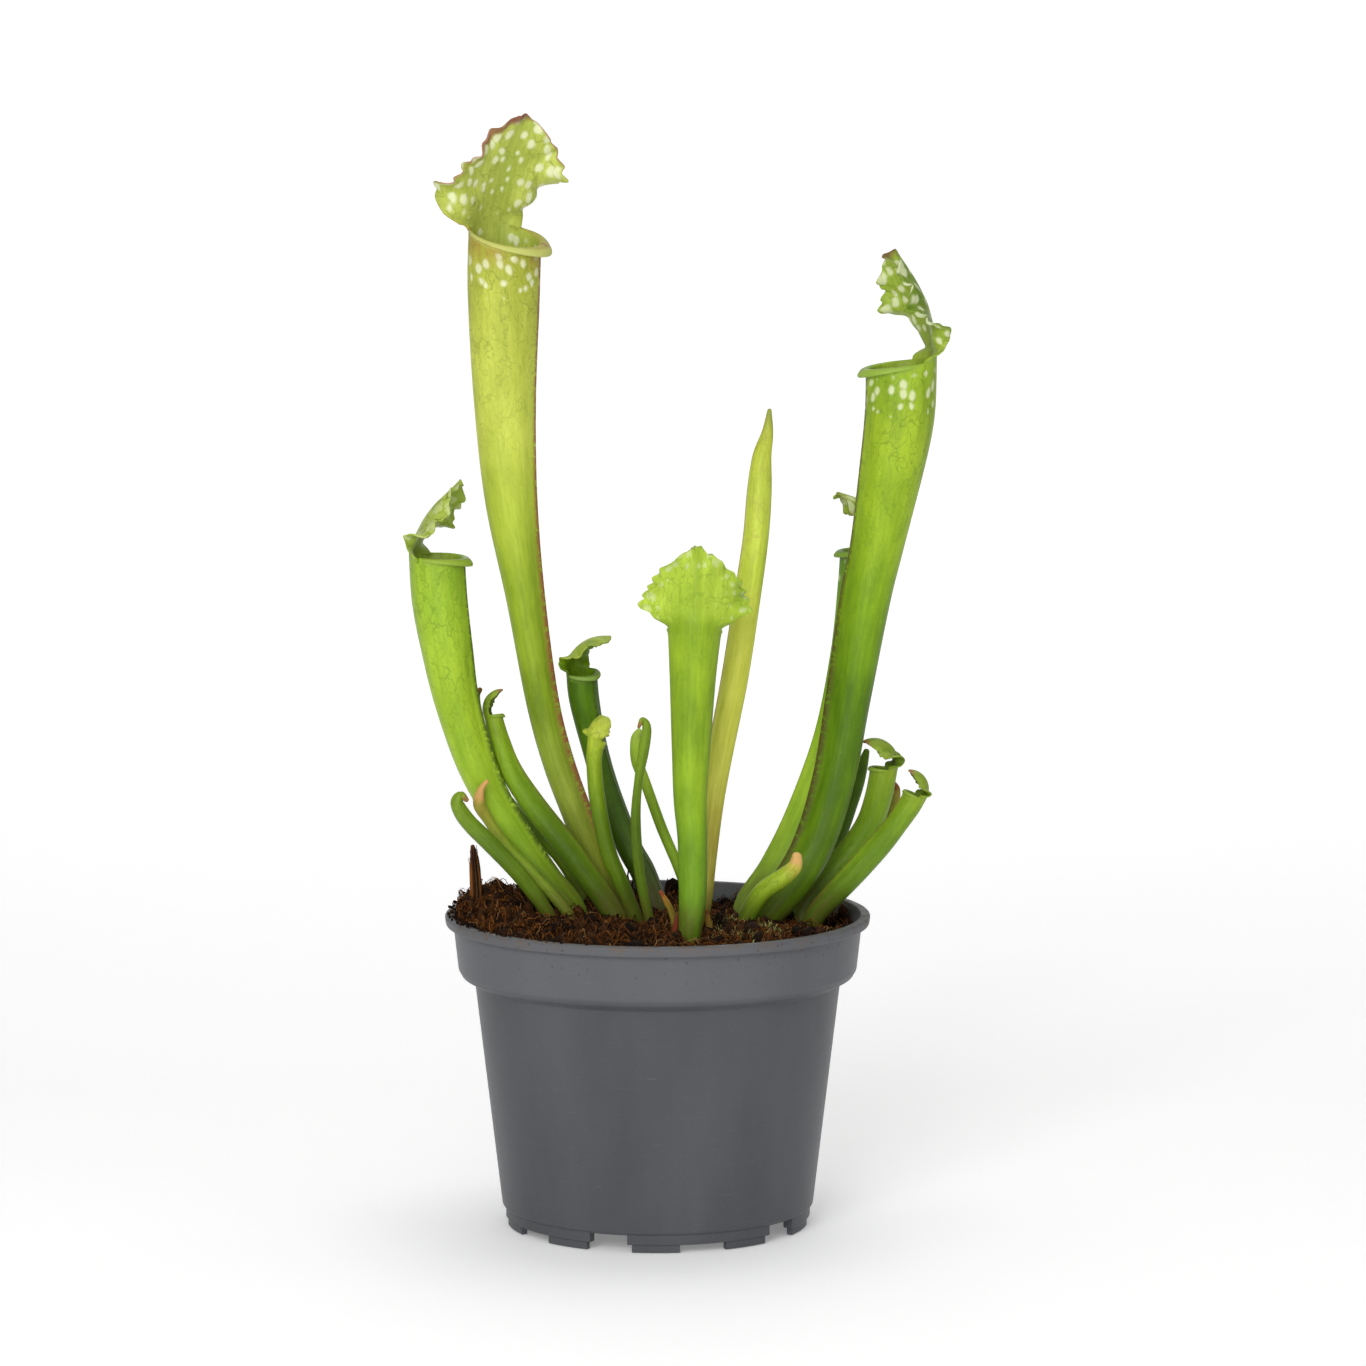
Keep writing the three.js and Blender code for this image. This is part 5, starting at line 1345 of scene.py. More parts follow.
def pitcher(name, leaf, fine):
    """An open pitcher: tube, rolled lip, hollow inside, and the hood on the back of the rim."""
    hood = leaf["hood"]
    skin = Skin()
    tube_rows, lip_half, hood_rows, hood_columns = FINE if fine else COARSE
    hood_start = math.pi - math.radians(hood["neck"])
    near = hood_start * (np.arange(lip_half) / lip_half) ** 1.3
    back = np.linspace(hood_start, 2 * np.pi - hood_start, hood_columns + 1)
    angles = np.concatenate([near, back, (2 * np.pi - near[1:])[::-1]])
    first, last = lip_half, lip_half + hood_columns
    total = stem_lengths(leaf, [1.0])[0]

    rings = tube(skin, leaf, angles, total, tube_rows)
    mouth = stations(leaf, 1)
    mouth["rim"] = 0.5 + leaf["slope"]
    lip_rows = rolled_lip(skin, leaf, mouth, angles, hood_start, total)
    for low, high in zip(rings, rings[1:] + lip_rows[:1]):
        skin.join(low, high)
    lip_only = np.concatenate([np.arange(last, len(angles)), np.arange(0, first + 1)])
    for k in range(len(lip_rows) - 1):
        if k < OUTER_ROW:
            skin.join(lip_rows[k], lip_rows[k + 1])
        else:
            skin.join(lip_rows[k][lip_only], lip_rows[k + 1][lip_only], closed=False)

    inner_rim = inner_ring(skin, leaf, angles, total, 1, 1, 0.05)
    skin.join(lip_rows[-1][lip_only], inner_rim[lip_only], closed=False)
    hollow(skin, leaf, angles, total, inner_rim)

    starts = [row[first : last + 1] for row in (lip_rows[OUTER_ROW], inner_rim)]
    sheets = blade(skin, leaf, mouth, total, starts, hood_rows, hood_columns)
    round_edge(skin, sheets)
    skin.points = [drawn_in(np.concatenate(skin.points))]
    slot = {**BASE_LOOK, **LOOKS[leaf["look"]]}["slot"]
    return skin.piece(name + "_leaf", MATERIALS[leaf["look"]], slot, [name])


for name, leaf in LEAVES.items():
    if "hood" in leaf:
        pitcher(name, leaf, leaf["hood"]["half"] > 6.5)
    else:
        closed_leaf(name, leaf)
# %% [markdown]
# ## The pot
#
# The pot is thin moulded plastic: a rolled flange, a tall band, a step and a tapering body. Its underside has
# the floor with its drain holes and the five arcs of the foot ring with their pads. A screw modifier could
# turn its outline, but holes and arcs then need Booleans. Here the outline is turned as rows of a skin, and
# the floor is filled between its rim and the holes' rings.

# %% The pot's measures
RIM, POT_HEIGHT, FLANGE_DEPTH = 60.0, 88.5, 3.0
BAND_TOP, BAND_BOTTOM, BAND_Z = 57.6, 56.2, 73.0
BODY_TOP, BODY_TOP_Z, BODY_BOTTOM = 51.6, 69.4, 44.05
FLOOR_Z, FLOOR_THICK, POT_WALL = 4.9, 1.5, 1.2
FOOT_OUTER, FOOT_INNER, FOOT_UNDERSIDE, FOOT_SPAN, FIRST_ARC, ARCS = 43.2, 40.4, 2.2, 57.5, 17.4, 5
PAD_SPAN, PAD_TURN, DRAIN_RADIUS, DRAIN_RING = 18.0, 18.1, 3.6, 33.0
SUNK = 0.4  # how far the foot runs up into the floor
POT_SIDES = 192
SHARP_FROM = 38  # degrees between two faces from which their edge stays crisp
POT_OUTSIDE = [
    (BODY_BOTTOM - 1, FLOOR_Z), (BODY_BOTTOM, FLOOR_Z + 0.8), (BODY_TOP, BODY_TOP_Z),
    (BAND_BOTTOM - 1, BAND_Z - 1.8), (BAND_BOTTOM, BAND_Z), (BAND_TOP, POT_HEIGHT - FLANGE_DEPTH),
    (RIM - 0.3, POT_HEIGHT - FLANGE_DEPTH + 0.2), (RIM, POT_HEIGHT - 0.5), (RIM - 0.5, POT_HEIGHT),
]
POT_INSIDE = [
    (RIM - 2.7, POT_HEIGHT), (BAND_TOP - POT_WALL, POT_HEIGHT - FLANGE_DEPTH - 0.8),
    (BAND_BOTTOM - POT_WALL, BAND_Z + 1.4), (BODY_TOP - POT_WALL, BODY_TOP_Z + 1.4),
    (BODY_BOTTOM - POT_WALL, FLOOR_Z + FLOOR_THICK),
]


def inside_radius(z):
    """The radius of the pot's inside at a height."""
    rows = POT_INSIDE[::-1]
    return np.interp(z, [row[1] for row in rows], [row[0] for row in rows])


def rounded(corners, reach=0.45, steps=5):
    """The same outline with each of its inner corners rounded off."""
    corners = np.array(corners, float)
    outline = [corners[0]]
    for a, b, c in zip(corners, corners[1:], corners[2:]):
        start, end = (b + (p - b) * min(reach / np.linalg.norm(p - b), 0.45) for p in (a, c))
        for q in np.linspace(0, 1, steps):  # a curve from start to end that leans towards the corner
            outline.append((1 - q) ** 2 * start + 2 * q * (1 - q) * b + q * q * end)
    return outline + [corners[-1]]
print("pot:", 2 * RIM, "mm across and", POT_HEIGHT, "mm high")

# %% [markdown]
# ## Grey moulded plastic
#
# Nursery pots are moulded from recycled polypropylene. Mixed scrap gives the eye an uneven, slightly cloudy
# grey with pale specks, and handling adds scratches round the pot and soil near the rim. The band is painted
# paler, a painted highlight for the soft shine that it catches. A picture of a pot could be wrapped round it,
# but noises at the right sizes stay sharp at any distance. The object's space is in metres here, so each size
# is turned into a scale with MM.

# %% Grey moulded plastic
PLASTIC_ROUGH = 0.33
PLASTIC_SPECULAR = 0.12  # well below new plastic, for a surface that has been handled
BAND_HIGHLIGHT_Z, DUSTY_Z, SPECKED_Z = (0.0715, 0.0735), (0.0845, 0.0885), (0.07, 0.089)  # metres up the pot

plastic, tree = new_material("grey_moulded_plastic")
place = add(tree, "TexCoord", (), out="Object")
height = add(tree, "SeparateXYZ", (place,), out="Z")
upright = add(tree, "Mapping", {"Vector": place, "Scale": (1, 1, 0.3)})
round_about = add(tree, "Mapping", {"Vector": place, "Scale": (1, 1, 14)})
grains = {}
for name, space, size, detail, rough in (
    ("clouds", upright, 25, 4.0, 0.55), ("specks", place, 0.62, 2.0, 0.6),
    ("scratches", round_about, 9, 6.0, 0.75), ("dust", place, 3.8, 5.0, 0.7),
    ("moulding", place, 1.11, 3.0, 0.55),
):
    inputs = {"Vector": space, "Scale": scale_for(size, MM), "Detail": detail, "Roughness": rough}
    grains[name] = add(tree, "TexNoise", inputs)
scratches = grains["scratches"]
speckle = add(tree, "MapRange", (grains["specks"], 0.66, 0.78), **SOFT)
scratched = add(tree, "MapRange", (scratches, 0.58, 0.75), **SOFT)
# Everything from the step up, the band and the flange, is painted paler: a painted highlight on the band.
band_highlight = add(tree, "MapRange", (height, *BAND_HIGHLIGHT_Z), **SOFT)
near_rim = add(tree, "MapRange", (height, *DUSTY_Z), **SOFT)
settled = add(tree, "MapRange", (grains["dust"], 0.42, 0.7), **SOFT)
dust = add(tree, "Math", (near_rim, settled), **TIMES)
inputs = {"Vector": place, "Scale": scale_for(2.4, MM), "Randomness": 1.0}
spots = add(tree, "TexVoronoi", inputs, feature="F1")
crumbs_of_soil = add(tree, "MapRange", (spots, 0.2, 0.1), **SOFT)
high_up = add(tree, "MapRange", (height, *SPECKED_Z), **SOFT)
specks = add(tree, "Math", (crumbs_of_soil, high_up), **TIMES)
clouds = add(tree, "ValToRGB", (grains["clouds"],), stops=[(0.3, "#4b4c4f"), (0.7, "#54565a")])
colour = coated(tree, clouds, [
    (add(tree, "Math", (share, strength), **TIMES), code) for share, strength, code in (
        (speckle, 0.22, "#8a8a86"), (scratched, 0.3, "#77797b"), (band_highlight, 0.22, "#7d7f83"),
        (dust, 0.7, "#6a5a4c"), (specks, 0.6, "#4b3424"),
    )
])
rough = add(tree, "Math", (PLASTIC_ROUGH, add(tree, "Math", (scratches, 0.16), **TIMES)), **PLUS)
dusty = add(tree, "Math", (dust, 0.3), **TIMES)
rough = add(tree, "Math", (rough, dusty), use_clamp=True, **PLUS)
normal = add(tree, "Bump", {"Height": grains["moulding"], "Distance": 0.03 * MM, "Strength": 0.5})
inputs = {"Height": scratches, "Distance": 0.03 * MM, "Strength": 0.4, "Normal": normal}
wire(tree, tree.nodes["Principled BSDF"], {
    "Base Color": colour, "Roughness": rough, "Normal": add(tree, "Bump", inputs),
    "Specular IOR Level": PLASTIC_SPECULAR,
})
print("plastic nodes:", len(tree.nodes))

# %% The pot's wall and pierced floor
def ring_at(radius, z, sides=POT_SIDES, x=0.0, y=0.0):
    """A level ring of points."""
    turns = np.linspace(0, 2 * np.pi, sides, endpoint=False)
    return np.stack([x + radius * np.cos(turns), y + radius * np.sin(turns), 0 * turns + z], axis=1)


shell = Skin()
pot_rows = [shell.row(ring_at(radius, z)) for radius, z in rounded(POT_OUTSIDE + POT_INSIDE)]
for low, high in zip(pot_rows, pot_rows[1:]):
    shell.join(low, high)


def drain_places():
    """One hole between each two arcs of the foot."""
    turns = [math.radians(FIRST_ARC + (i + 0.5) * 360 / ARCS - 90) for i in range(ARCS)]
    return [(DRAIN_RING * math.cos(a), DRAIN_RING * math.sin(a)) for a in turns]


def pierced(skin, edge, z, looks_up):
    """A flat floor inside a ring of points, with its drain holes cut out; gives the holes' rings."""
    holes = [skin.row(ring_at(DRAIN_RADIUS, z, 32, x, y)) for x, y in drain_places()]
    everything = np.concatenate(skin.points)
    loops = [edge] + holes
    ids = np.concatenate(loops)
    for triangle in tessellate_polygon([[Vector(everything[k]) for k in loop] for loop in loops]):
        a, b, c = (int(ids[k]) for k in triangle)
        up = np.cross(everything[b] - everything[a], everything[c] - everything[a])[2] > 0
        skin.faces.append((a, b, c) if up == looks_up else (a, c, b))
    return holes


under = pierced(shell, pot_rows[0], FLOOR_Z, False)
above_floor = pierced(shell, pot_rows[-1], FLOOR_Z + FLOOR_THICK, True)
for low, high in zip(under, above_floor):
    shell.join(low, high, flip=True)
print("drain holes:", len(under))

# %% The foot ring and the finished pot


def arc_block(inner, outer, middle, span, low, high):
    """A block with the outline of an arc of a ring, rounded a little at its foot."""
    turns = np.radians(np.linspace(middle - span / 2 - 90, middle + span / 2 - 90, 25))
    inset = 0.25
    corners = [
        (inner, high), (inner, low + inset), (inner + inset, low), (outer - inset, low), (outer, low + inset),
        (outer, high),
    ]
    rows = np.array([[(r * math.cos(a), r * math.sin(a), z) for r, z in corners] for a in turns])
    n = len(corners)
    faces = []
    for i in range(len(turns) - 1):
        for k in range(n):
            a, b = i * n + k, i * n + (k + 1) % n
            faces.append((a, a + n, b + n, b))
    faces.append(tuple(range(n)))
    faces.append(tuple(range((len(turns) - 1) * n, len(turns) * n))[::-1])
    return rows.reshape(-1, 3), faces


points, faces, count = list(shell.points), list(shell.faces), shell.count
for i in range(ARCS):
    middle = FIRST_ARC + i * 360 / ARCS
    blocks = [arc_block(FOOT_INNER, FOOT_OUTER, middle, FOOT_SPAN, FOOT_UNDERSIDE, FLOOR_Z + SUNK)]
    for turn in (-PAD_TURN, PAD_TURN):
        pad = (FOOT_INNER + 0.5, FOOT_OUTER - 0.5, middle + turn, PAD_SPAN, 0.0, FOOT_UNDERSIDE + SUNK)
        blocks.append(arc_block(*pad))
    for block_points, block_faces in blocks:
        points.append(block_points)
        faces += [tuple(k + count for k in face) for face in block_faces]
        count += len(block_points)
pot = make_piece("nursery_pot", np.concatenate(points), faces, plastic, ["pot"])
pot.data.set_sharp_from_angle(angle=math.radians(SHARP_FROM))
print("pot faces:", len(pot.data.polygons))

# %% [markdown]
# ## The soil
#
# Moist peat: a lumpy bed, thousands of crumbs and fibres on it, a few tufts of moss, and strands of dry
# plant. It is heaped over the rim on the left and lies lower on the right and at the back. A displaced disc
# could make the bed, but its fibres have to know its height, so both ask the same function.

# %% The bed's height
HEAPS = [(-46, 6, 15, 6.5), (-30, -22, 14, 1.2), (34, 34, 22, -7.5), (50, -2, 13, -5), (8, 42, 18, -3)]
SEEN_HOLLOW = (-11, 22, 9, -2)  # a small dip that the photograph shows and the solid soil leaves out
SOIL_LEVEL = 86.8
GAP = 0.3  # between the soil and the pot's wall and floor
BED_REACH = 57.2  # how far from the middle the bed is laid out
FREE_REACH = 56.5  # how far from the middle loose things fall
LOOSE_ROOM, STRAND_ROOM = 0.15, 0.45  # how near to the pot's wall crumbs and strands may lie
rng = np.random.default_rng(7)


def soil_height(x, y):
    """The even height of the soil, with its heaps and hollows."""
    z = SOIL_LEVEL + 0 * np.asarray(x, float)
    for cx, cy, r, h in HEAPS + [SEEN_HOLLOW]:
        z = z + h * np.exp(-((x - cx) ** 2 + (y - cy) ** 2) / (r * r))
    return z


def lumps(x, y):
    """The bed's own roughness: big lumps, small lumps and grit."""
    # Lumps of 8, 2 and 6 mm, from the numbers that a millimetre is multiplied by.
    big = noise.fractal(Vector((x * 0.13, y * 0.13, 3.1)), 1.0, 2.1, 4)
    small = noise.fractal(Vector((x * 0.5, y * 0.5, 8.4)), 0.9, 2.2, 3)
    clods = noise.turbulence(Vector((x * 0.17, y * 0.17, 5.7)), 3, True)
    return 2.7 * big + 1.1 * small + 2.4 * (clods - 0.8)
print("soil height at the middle and on the heap:", [round(float(soil_height(x, 0)), 1) for x in (0, -46)])

# %% [markdown]
# ## Peat, fibre, moss and straw
#
# All of these are dead or dry plant matter. Their torn surface swallows light, which gives the eye a dark,
# dull body with paler broken edges and next to no shine. They could be one material, but moss is olive and
# straw is pale, so one recipe takes three tones from dark to light. A tone stored with each crumb or strand
# sets them apart, and on the bed it darkens the hollows as painted shade.

# %% Peat, fibre, moss and straw
def peat_material(name, dark, middle, light, grit=1.0):
    """A dull, mottled material; grit is how rough its relief is, with 1 for peat."""
    material, tree = new_material(name)
    place = add(tree, "TexCoord", (), out="Object")
    tone = add(tree, "Attribute", (), out="Vector", attribute_name="tone")
    tone = add(tree, "SeparateXYZ", (tone,), out="X")
    # Peat's finest grit is smaller than a pixel, which is about 0.3 mm here, so it is drawn at 0.9 mm.
    inputs = {"Vector": place, "Scale": scale_for(3, MM), "Detail": 5.0, "Roughness": 0.7}
    mottle = add(tree, "TexNoise", inputs)
    mottle = add(tree, "Math", (mottle, 0.5), **TIMES)
    # The stored tone is random on crumbs and strands. On the bed it is painted shade in the hollows.
    tone = add(tree, "Math", (tone, 0.6), **TIMES)
    share = add(tree, "Math", (mottle, tone), use_clamp=True, **PLUS)
    inputs = {"Vector": place, "Scale": scale_for(0.9, MM), "Detail": 4.0, "Roughness": 0.7}
    fine = add(tree, "TexNoise", inputs)
    wire(tree, tree.nodes["Principled BSDF"], {
        "Base Color": add(tree, "ValToRGB", (share,), stops=[(0.2, dark), (0.5, middle), (0.85, light)]),
        "Roughness": 0.92, "Specular IOR Level": 0.12,
        "Normal": add(tree, "Bump", {"Height": fine, "Distance": 0.35 * grit * MM, "Strength": 0.8}),
    })
    return material


peat = peat_material("moist_peat", "#080402", "#1d1109", "#452a14")
fibre = peat_material("peat_fibre", "#100904", "#3a200d", "#85501f", 0.3)
root_hair = peat_material("root_hair", "#321d0f", "#6a4526", "#a57a4c", 0.3)
moss = peat_material("olive_moss", "#45462a", "#8d8a4c", "#c4bd7e", 0.3)
straw = peat_material("dry_straw", "#5a3c22", "#9a6f42", "#c9a873", 0.3)
black_fibre = peat_material("black_fibre", "#0c0808", "#1c1412", "#33241c", 0.3)

print("materials so far:", len(bpy.data.materials))

# %% The bed
skin = Skin()
sectors = 260
turns = np.linspace(0, 2 * np.pi, sectors, endpoint=False)
rings = []
for share in np.linspace(0.02, 1, 86):
    x, y = BED_REACH * share * np.cos(turns), BED_REACH * share * np.sin(turns)
    rough = np.array([lumps(a, b) for a, b in zip(x, y)]) * smooth(1 - share, -0.2, 0.1)
    z = soil_height(x, y) + rough
    if share > 0.93:  # at the pot's wall the bed stays below the rim
        z = np.minimum(z, mix(z, POT_HEIGHT + 1.0, smooth(share, 0.93, 1)))
    room = np.minimum(1, (inside_radius(z) - LOOSE_ROOM) / np.hypot(x, y))
    # The lower a place lies among the lumps, the darker its tone: painted shade in the bed's hollows.
    crevice_shade_tone = np.clip(0.5 + 0.25 * (z - soil_height(x, y)), 0, 1)
    tones = np.stack([crevice_shade_tone, 0 * x, 0 * x], axis=1)
    rings.append(skin.row(np.stack([x * room, y * room, z], axis=1), tone=tones))
top = skin.row([(0, 0, skin.points[0][:, 2].mean())], tone=(0.5, 0, 0))
skin.fan(rings[0], top[0], flip=True)
for inner, outer in zip(rings, rings[1:]):
    skin.join(outer, inner)
below = rings[-1]
for radius, z in POT_INSIDE[2:]:
    z = z + GAP if z == FLOOR_Z + FLOOR_THICK else z
    ring = skin.row(ring_at(radius - GAP, z, sectors), tone=(0.4, 0, 0))
    skin.join(ring, below)
    below = ring
bottom = skin.row([(0, 0, FLOOR_Z + FLOOR_THICK + GAP)], tone=(0.4, 0, 0))
skin.fan(below, bottom[0], flip=True)
soil = skin.piece("peat_bed", peat, "peat", ["soil"])
print("peat bed points:", len(soil.data.vertices))

# %% [markdown]
# ## Crumbs
#
# Peat falls apart into crumbs of all sizes, mostly small. A particle system could scatter them, but its
# copies share one shape. Here each crumb is a dented ball of twenty faces, stretched its own way, and all
# crumbs of a kind are one mesh. None may poke through the pot's wall.

# %% Where loose things lie
def ground(x, y):
    """The height of the lumpy bed."""
    return float(soil_height(x, y)) + lumps(x, y)


def free_spot():
    """A random place on the bed."""
    r, a = FREE_REACH * math.sqrt(rng.random()), rng.random() * 2 * math.pi
    return r * math.cos(a), r * math.sin(a)

# %% Crumbs
def crumb_cloud(name, number, sizes, material, spot, lift=0.25, lies_on=ground):
    """Rounded, dented crumbs scattered over the bed, as one mesh."""
    golden = (1 + 5**0.5) / 2
    shape = unit(np.array([
        (-1, golden, 0), (1, golden, 0), (-1, -golden, 0), (1, -golden, 0), (0, -1, golden), (0, 1, golden),
        (0, -1, -golden), (0, 1, -golden), (golden, 0, -1), (golden, 0, 1), (-golden, 0, -1), (-golden, 0, 1),
    ]))
    sides = np.array([
        (0, 11, 5), (0, 5, 1), (0, 1, 7), (0, 7, 10), (0, 10, 11), (1, 5, 9), (5, 11, 4), (11, 10, 2),
        (10, 7, 6), (7, 1, 8), (3, 9, 4), (3, 4, 2), (3, 2, 6), (3, 6, 8), (3, 8, 9), (4, 9, 5), (2, 4, 11),
        (6, 2, 10), (8, 6, 7), (9, 8, 1),
    ])
    points, faces, tones = [], [], []
    for i in range(number):
        x, y = spot()
        size = mix(sizes[0], sizes[1], rng.random() ** 3)
        stretch = mix(0.55, 1.3, rng.random(3)) * size
        dents = mix(0.65, 1.25, rng.random((12, 1)))
        crumb = shape * dents * stretch + (x, y, lies_on(x, y) + lift * size)
        if lies_on is ground:
            room = (inside_radius(crumb[:, 2]) - LOOSE_ROOM) / np.hypot(crumb[:, 0], crumb[:, 1])
            crumb[:, :2] *= np.minimum(1, room)[:, None]
        points.append(crumb)
        faces += (sides + 12 * i).tolist()
        tones.append(np.full((12, 3), rng.random()))
    layers = {"tone": np.concatenate(tones)}
    return make_piece(name, np.concatenate(points), faces, material, (), layers)
def heap_spot():
    """A place on the rough heap at the left."""
    while True:
        x, y = rng.normal(-45, 9), rng.normal(0, 17)
        if math.hypot(x, y) < 56:
            return x, y


small = crumb_cloud("peat_crumbs", 2600, (0.35, 2.6), peat, free_spot)
clods = crumb_cloud("peat_clods", 420, (0.8, 2.9), peat, heap_spot, 0.1)
print("crumb faces:", len(small.data.polygons) + len(clods.data.polygons))

# %% [markdown]
# ## Fibres and root hairs
#
# Peat is full of torn fibres. Hair curves could stand for them, but the visual model has to carry them as
# plain meshes, so each is a thin three-sided strand that wanders over the bed. Real ones are often thinner
# than 0.1 mm, and these are drawn as thick as it takes for them to show.

# %% Fibres and root hairs
def strand_mesh(name, strands, material):
    """Thin bent strands as one mesh: each is its points, its thickness and its tone."""
    points, faces, tones, count = [], [], [], 0
    corners = np.radians([90, 210, 330])
    for path, thick, tone in strands:
        path = np.asarray(path, float)
        ahead = unit(np.gradient(path, axis=0) + 1e-6)
        across = unit(np.cross(ahead, (0.3, 0.2, 1.0)))
        other = np.cross(ahead, across)
        taper = thick / 2 * (1 - 0.75 * np.abs(np.linspace(-1, 1, len(path))) ** 3)
        for p, r, one, two in zip(path, taper, across, other):
            points.append([p + r * (one * math.cos(a) + two * math.sin(a)) for a in corners])
        for i in range(len(path) - 1):
            for k in range(3):
                a, b = count + 3 * i + k, count + 3 * i + (k + 1) % 3
                faces.append((a, b, b + 3, a + 3))
        tones.append(np.full((3 * len(path), 3), tone))
        count += 3 * len(path)
    layers = {"tone": np.concatenate(tones)}
    return make_piece(name, np.concatenate(points), faces, material, (), layers)


def lying_strand(x, y, length, curl, lift, steps=7):
    """A strand that wanders over the bed from a place, rising and dipping a little."""
    heading = rng.random() * 2 * math.pi
    bend = (rng.random() - 0.5) * curl
    rise = rng.random() * lift
    path = []
    for i in range(steps):
        share = i / (steps - 1)
        r = math.hypot(x, y)
        room = inside_radius(ground(x, y)) - STRAND_ROOM
        if r > room:
            x, y = x * room / r, y * room / r
        z = ground(x, y) + 0.15 + rise * math.sin(share * math.pi) + lift * 0.2 * rng.random()
        path.append((x, y, z))
        heading += bend / steps + (rng.random() - 0.5) * 0.5
        x += math.cos(heading) * length / steps
        y += math.sin(heading) * length / steps
    return path


strands = []
for i in range(6400):
    x, y = heap_spot() if i % 3 == 0 else free_spot()
    path = lying_strand(x, y, mix(2.5, 13, rng.random() ** 2), 4.5, 2.4)
    strands.append((path, mix(0.13, 0.5, rng.random() ** 2), rng.random()))
strand_mesh("peat_fibres", strands, fibre)
pale = []
for _ in range(520):
    x, y = heap_spot() if rng.random() < 0.4 else free_spot()
    path = lying_strand(x, y, mix(4, 15, rng.random() ** 2), 7.0, 3.2, 10)
    pale.append((path, mix(0.12, 0.3, rng.random()), rng.random()))
strand_mesh("pale_root_hairs", pale, root_hair)
print("fibres:", len(strands), " root hairs:", len(pale))

# %% [markdown]
# ## Moss
#
# Small cushions of moss grow between the leaves at the front right. A painted green patch would lie flat,
# so each cushion is a crowd of short leaning tufts round its middle.

# %% Moss
def near_spot(x, y, spread):
    """A chooser of random places round one place, none beyond the bed."""
    def spot():
        a, b = rng.normal(0, spread, 2)
        shrink = min(1.0, FREE_REACH / math.hypot(x + a, y + b))
        return (x + a) * shrink, (y + b) * shrink

    return spot


TUFTS = 190  # in each cushion
MOSS_PLACES = [(22, -8, 3.5), (18, -20, 3.5), (30, -22, 4), (24, -30, 4), (29, 15, 4.5)]
tufts = []
for x, y, spread in MOSS_PLACES:
    spot = near_spot(x, y, spread)
    for _ in range(TUFTS):
        a, b = spot()
        z = ground(a, b)
        lean = rng.normal(0, 0.9, 2)
        tall = mix(0.8, 2.2, rng.random())
        half_way = (a + lean[0] * 0.4, b + lean[1] * 0.4, z + tall * 0.6)
        path = [(a, b, z), half_way, (a + lean[0], b + lean[1], z + tall)]
        tufts.append((path, 0.42, rng.random()))
strand_mesh("moss_tufts", tufts, moss)
print("moss tufts:", len(tufts))

# %% [markdown]
# ## Straws, torn fibres and black curls
#
# Dry straws lie on the peat, the dead leaf base has come apart into fibres, and black strands curl up at
# the back. They could be scattered like the rest, but the eye finds the large ones, so those have places
# of their own.

# %% Straws
LONG_STRAWS = [
    (-21, 4, 13), (-16, 12, 9), (12, -46, 7), (9, -48, 5), (-2, -30, 8), (18, -30, 6), (-40, -20, 7),
    (30, -36, 6),
]
straws = []
for x, y, length in LONG_STRAWS:
    straws.append((lying_strand(x, y, length, 1.0, 1.2, 9), 0.5, rng.random()))
for _ in range(160):
    x, y = free_spot()
    path = lying_strand(x, y, mix(1.5, 5, rng.random()), 2.0, 1.0, 5)
    straws.append((path, mix(0.2, 0.5, rng.random()), rng.random()))
strand_mesh("dry_straws", straws, straw)
print("straws:", len(straws))

# %% Torn fibres and black curls
stub = LEAVES["stub_dry"]
torn = []
for i in range(11):
    a = i * 2 * math.pi / 11
    ts = np.linspace(0.12, mix(0.75, 1.0, rng.random()), 9)
    at = stations(stub, ts)
    reach = (at["radius"] + 0.1)[:, None]
    path = at["middle"] + reach * (at["front"] * math.cos(a) + at["side"] * math.sin(a))
    path[-1] += (0.5 * math.cos(a), 0.5 * math.sin(a), 0.4)
    torn.append((path, mix(0.35, 0.7, rng.random()), rng.random()))
strand_mesh("stub_fibres", torn, fibre)

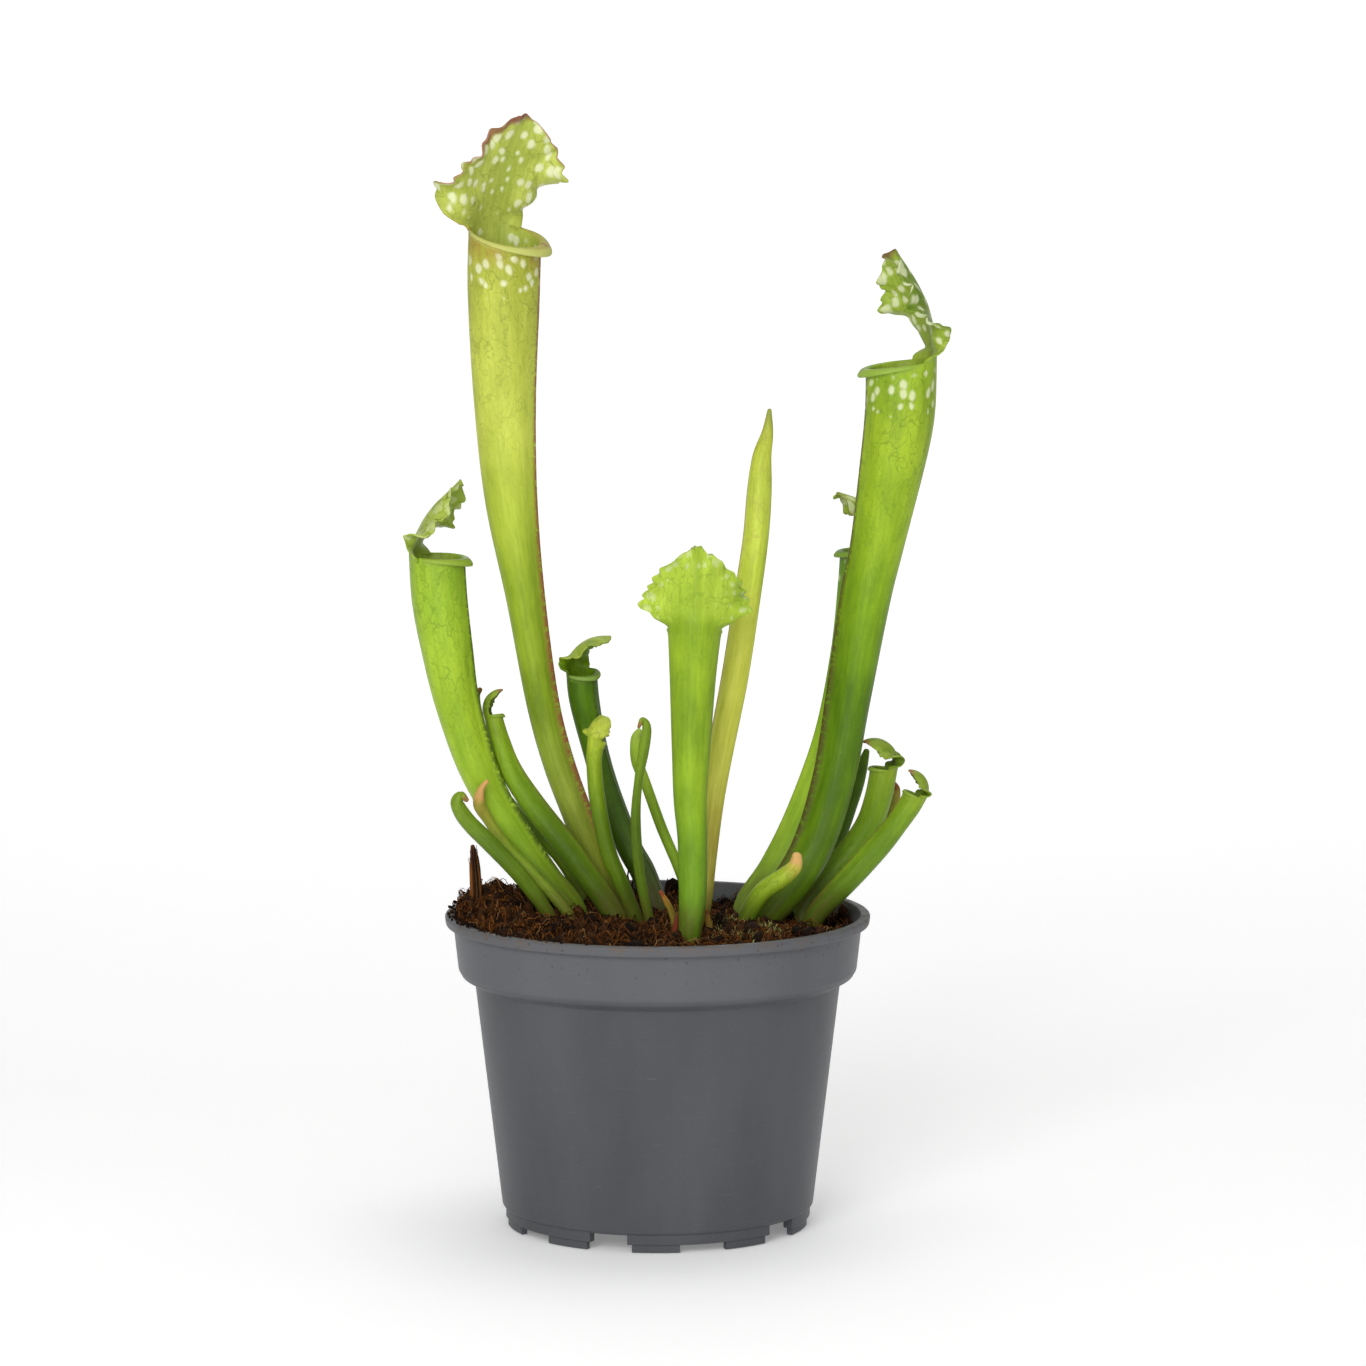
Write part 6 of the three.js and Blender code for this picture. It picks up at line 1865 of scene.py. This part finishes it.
LITTER = [
    (-11, 44, 9.5, 2.6), (-9, 45, 10, -2.2), (-7, 44, 9, 2.4), (-8, 43, 10.5, 1.2), (-6, 45, 8, -2.6),
    (1, 44, 9.6, 2), (-34, 34, 3, 2), (47, 14, 3.5, 1.5),
]
curls = []
for x, y, tall, reach in LITTER:
    z = ground(x, y)
    loop = []
    for q in np.linspace(0, 1.25, 12):
        loop.append((x + reach * math.sin(q * 1.7), y + 1.2 * q, z + tall * math.sin(q * 1.35)))
    curls.append((loop, 0.55, 0.3))
strand_mesh("black_curls", curls, black_fibre)
print("torn fibres:", len(torn), " curls:", len(curls))

# %% [markdown]
# ## Crumbs on the rim
#
# Filling a pot leaves crumbs on its rim, mostly where the heap is. Dust in the plastic's colour alone would
# look printed, so the larger ones are the same dented balls again.

# %% Crumbs on the rim
def rim_spot():
    """A random place on the rim, most often at the left."""
    a = math.radians(rng.normal(200, 26))
    r = mix(56.5, 59.3, rng.random())
    return r * math.cos(a), r * math.sin(a)


def on_rim_ground(x, y):
    """The rim's own height, or the heap's where that is higher."""
    return max(POT_HEIGHT, float(soil_height(x, y)) - 0.6)


on_rim = crumb_cloud("rim_crumbs", 230, (0.2, 0.7), peat, rim_spot, 0.4, on_rim_ground)
print("crumb faces on the rim:", len(on_rim.data.polygons))

# %% [markdown]
# ## The rootstock
#
# The branching rootstock lies in the soil, where only a cut view shows it. Finer geometry would never be
# seen, so the solid stays and gets a brown, scarred bark.

# %% The rootstock
bark, tree = new_material("rootstock_bark")
place = add(tree, "TexCoord", (), out="Object")
scars = add(tree, "TexNoise", {"Vector": place, "Scale": scale_for(3.8, MM), "Detail": 5.0, "Roughness": 0.7})
wire(tree, tree.nodes["Principled BSDF"], {
    "Base Color": add(tree, "ValToRGB", (scars,), stops=[(0.3, "#3b2416"), (0.7, "#7a5638")]),
    "Normal": add(tree, "Bump", {"Height": scars, "Distance": 0.5 * MM, "Strength": 0.8}),
    "Roughness": 0.85,
})
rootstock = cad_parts["rhizome"]
for holder in rootstock.material_slots:
    holder.material = bark
print("rootstock slots:", len(rootstock.material_slots))
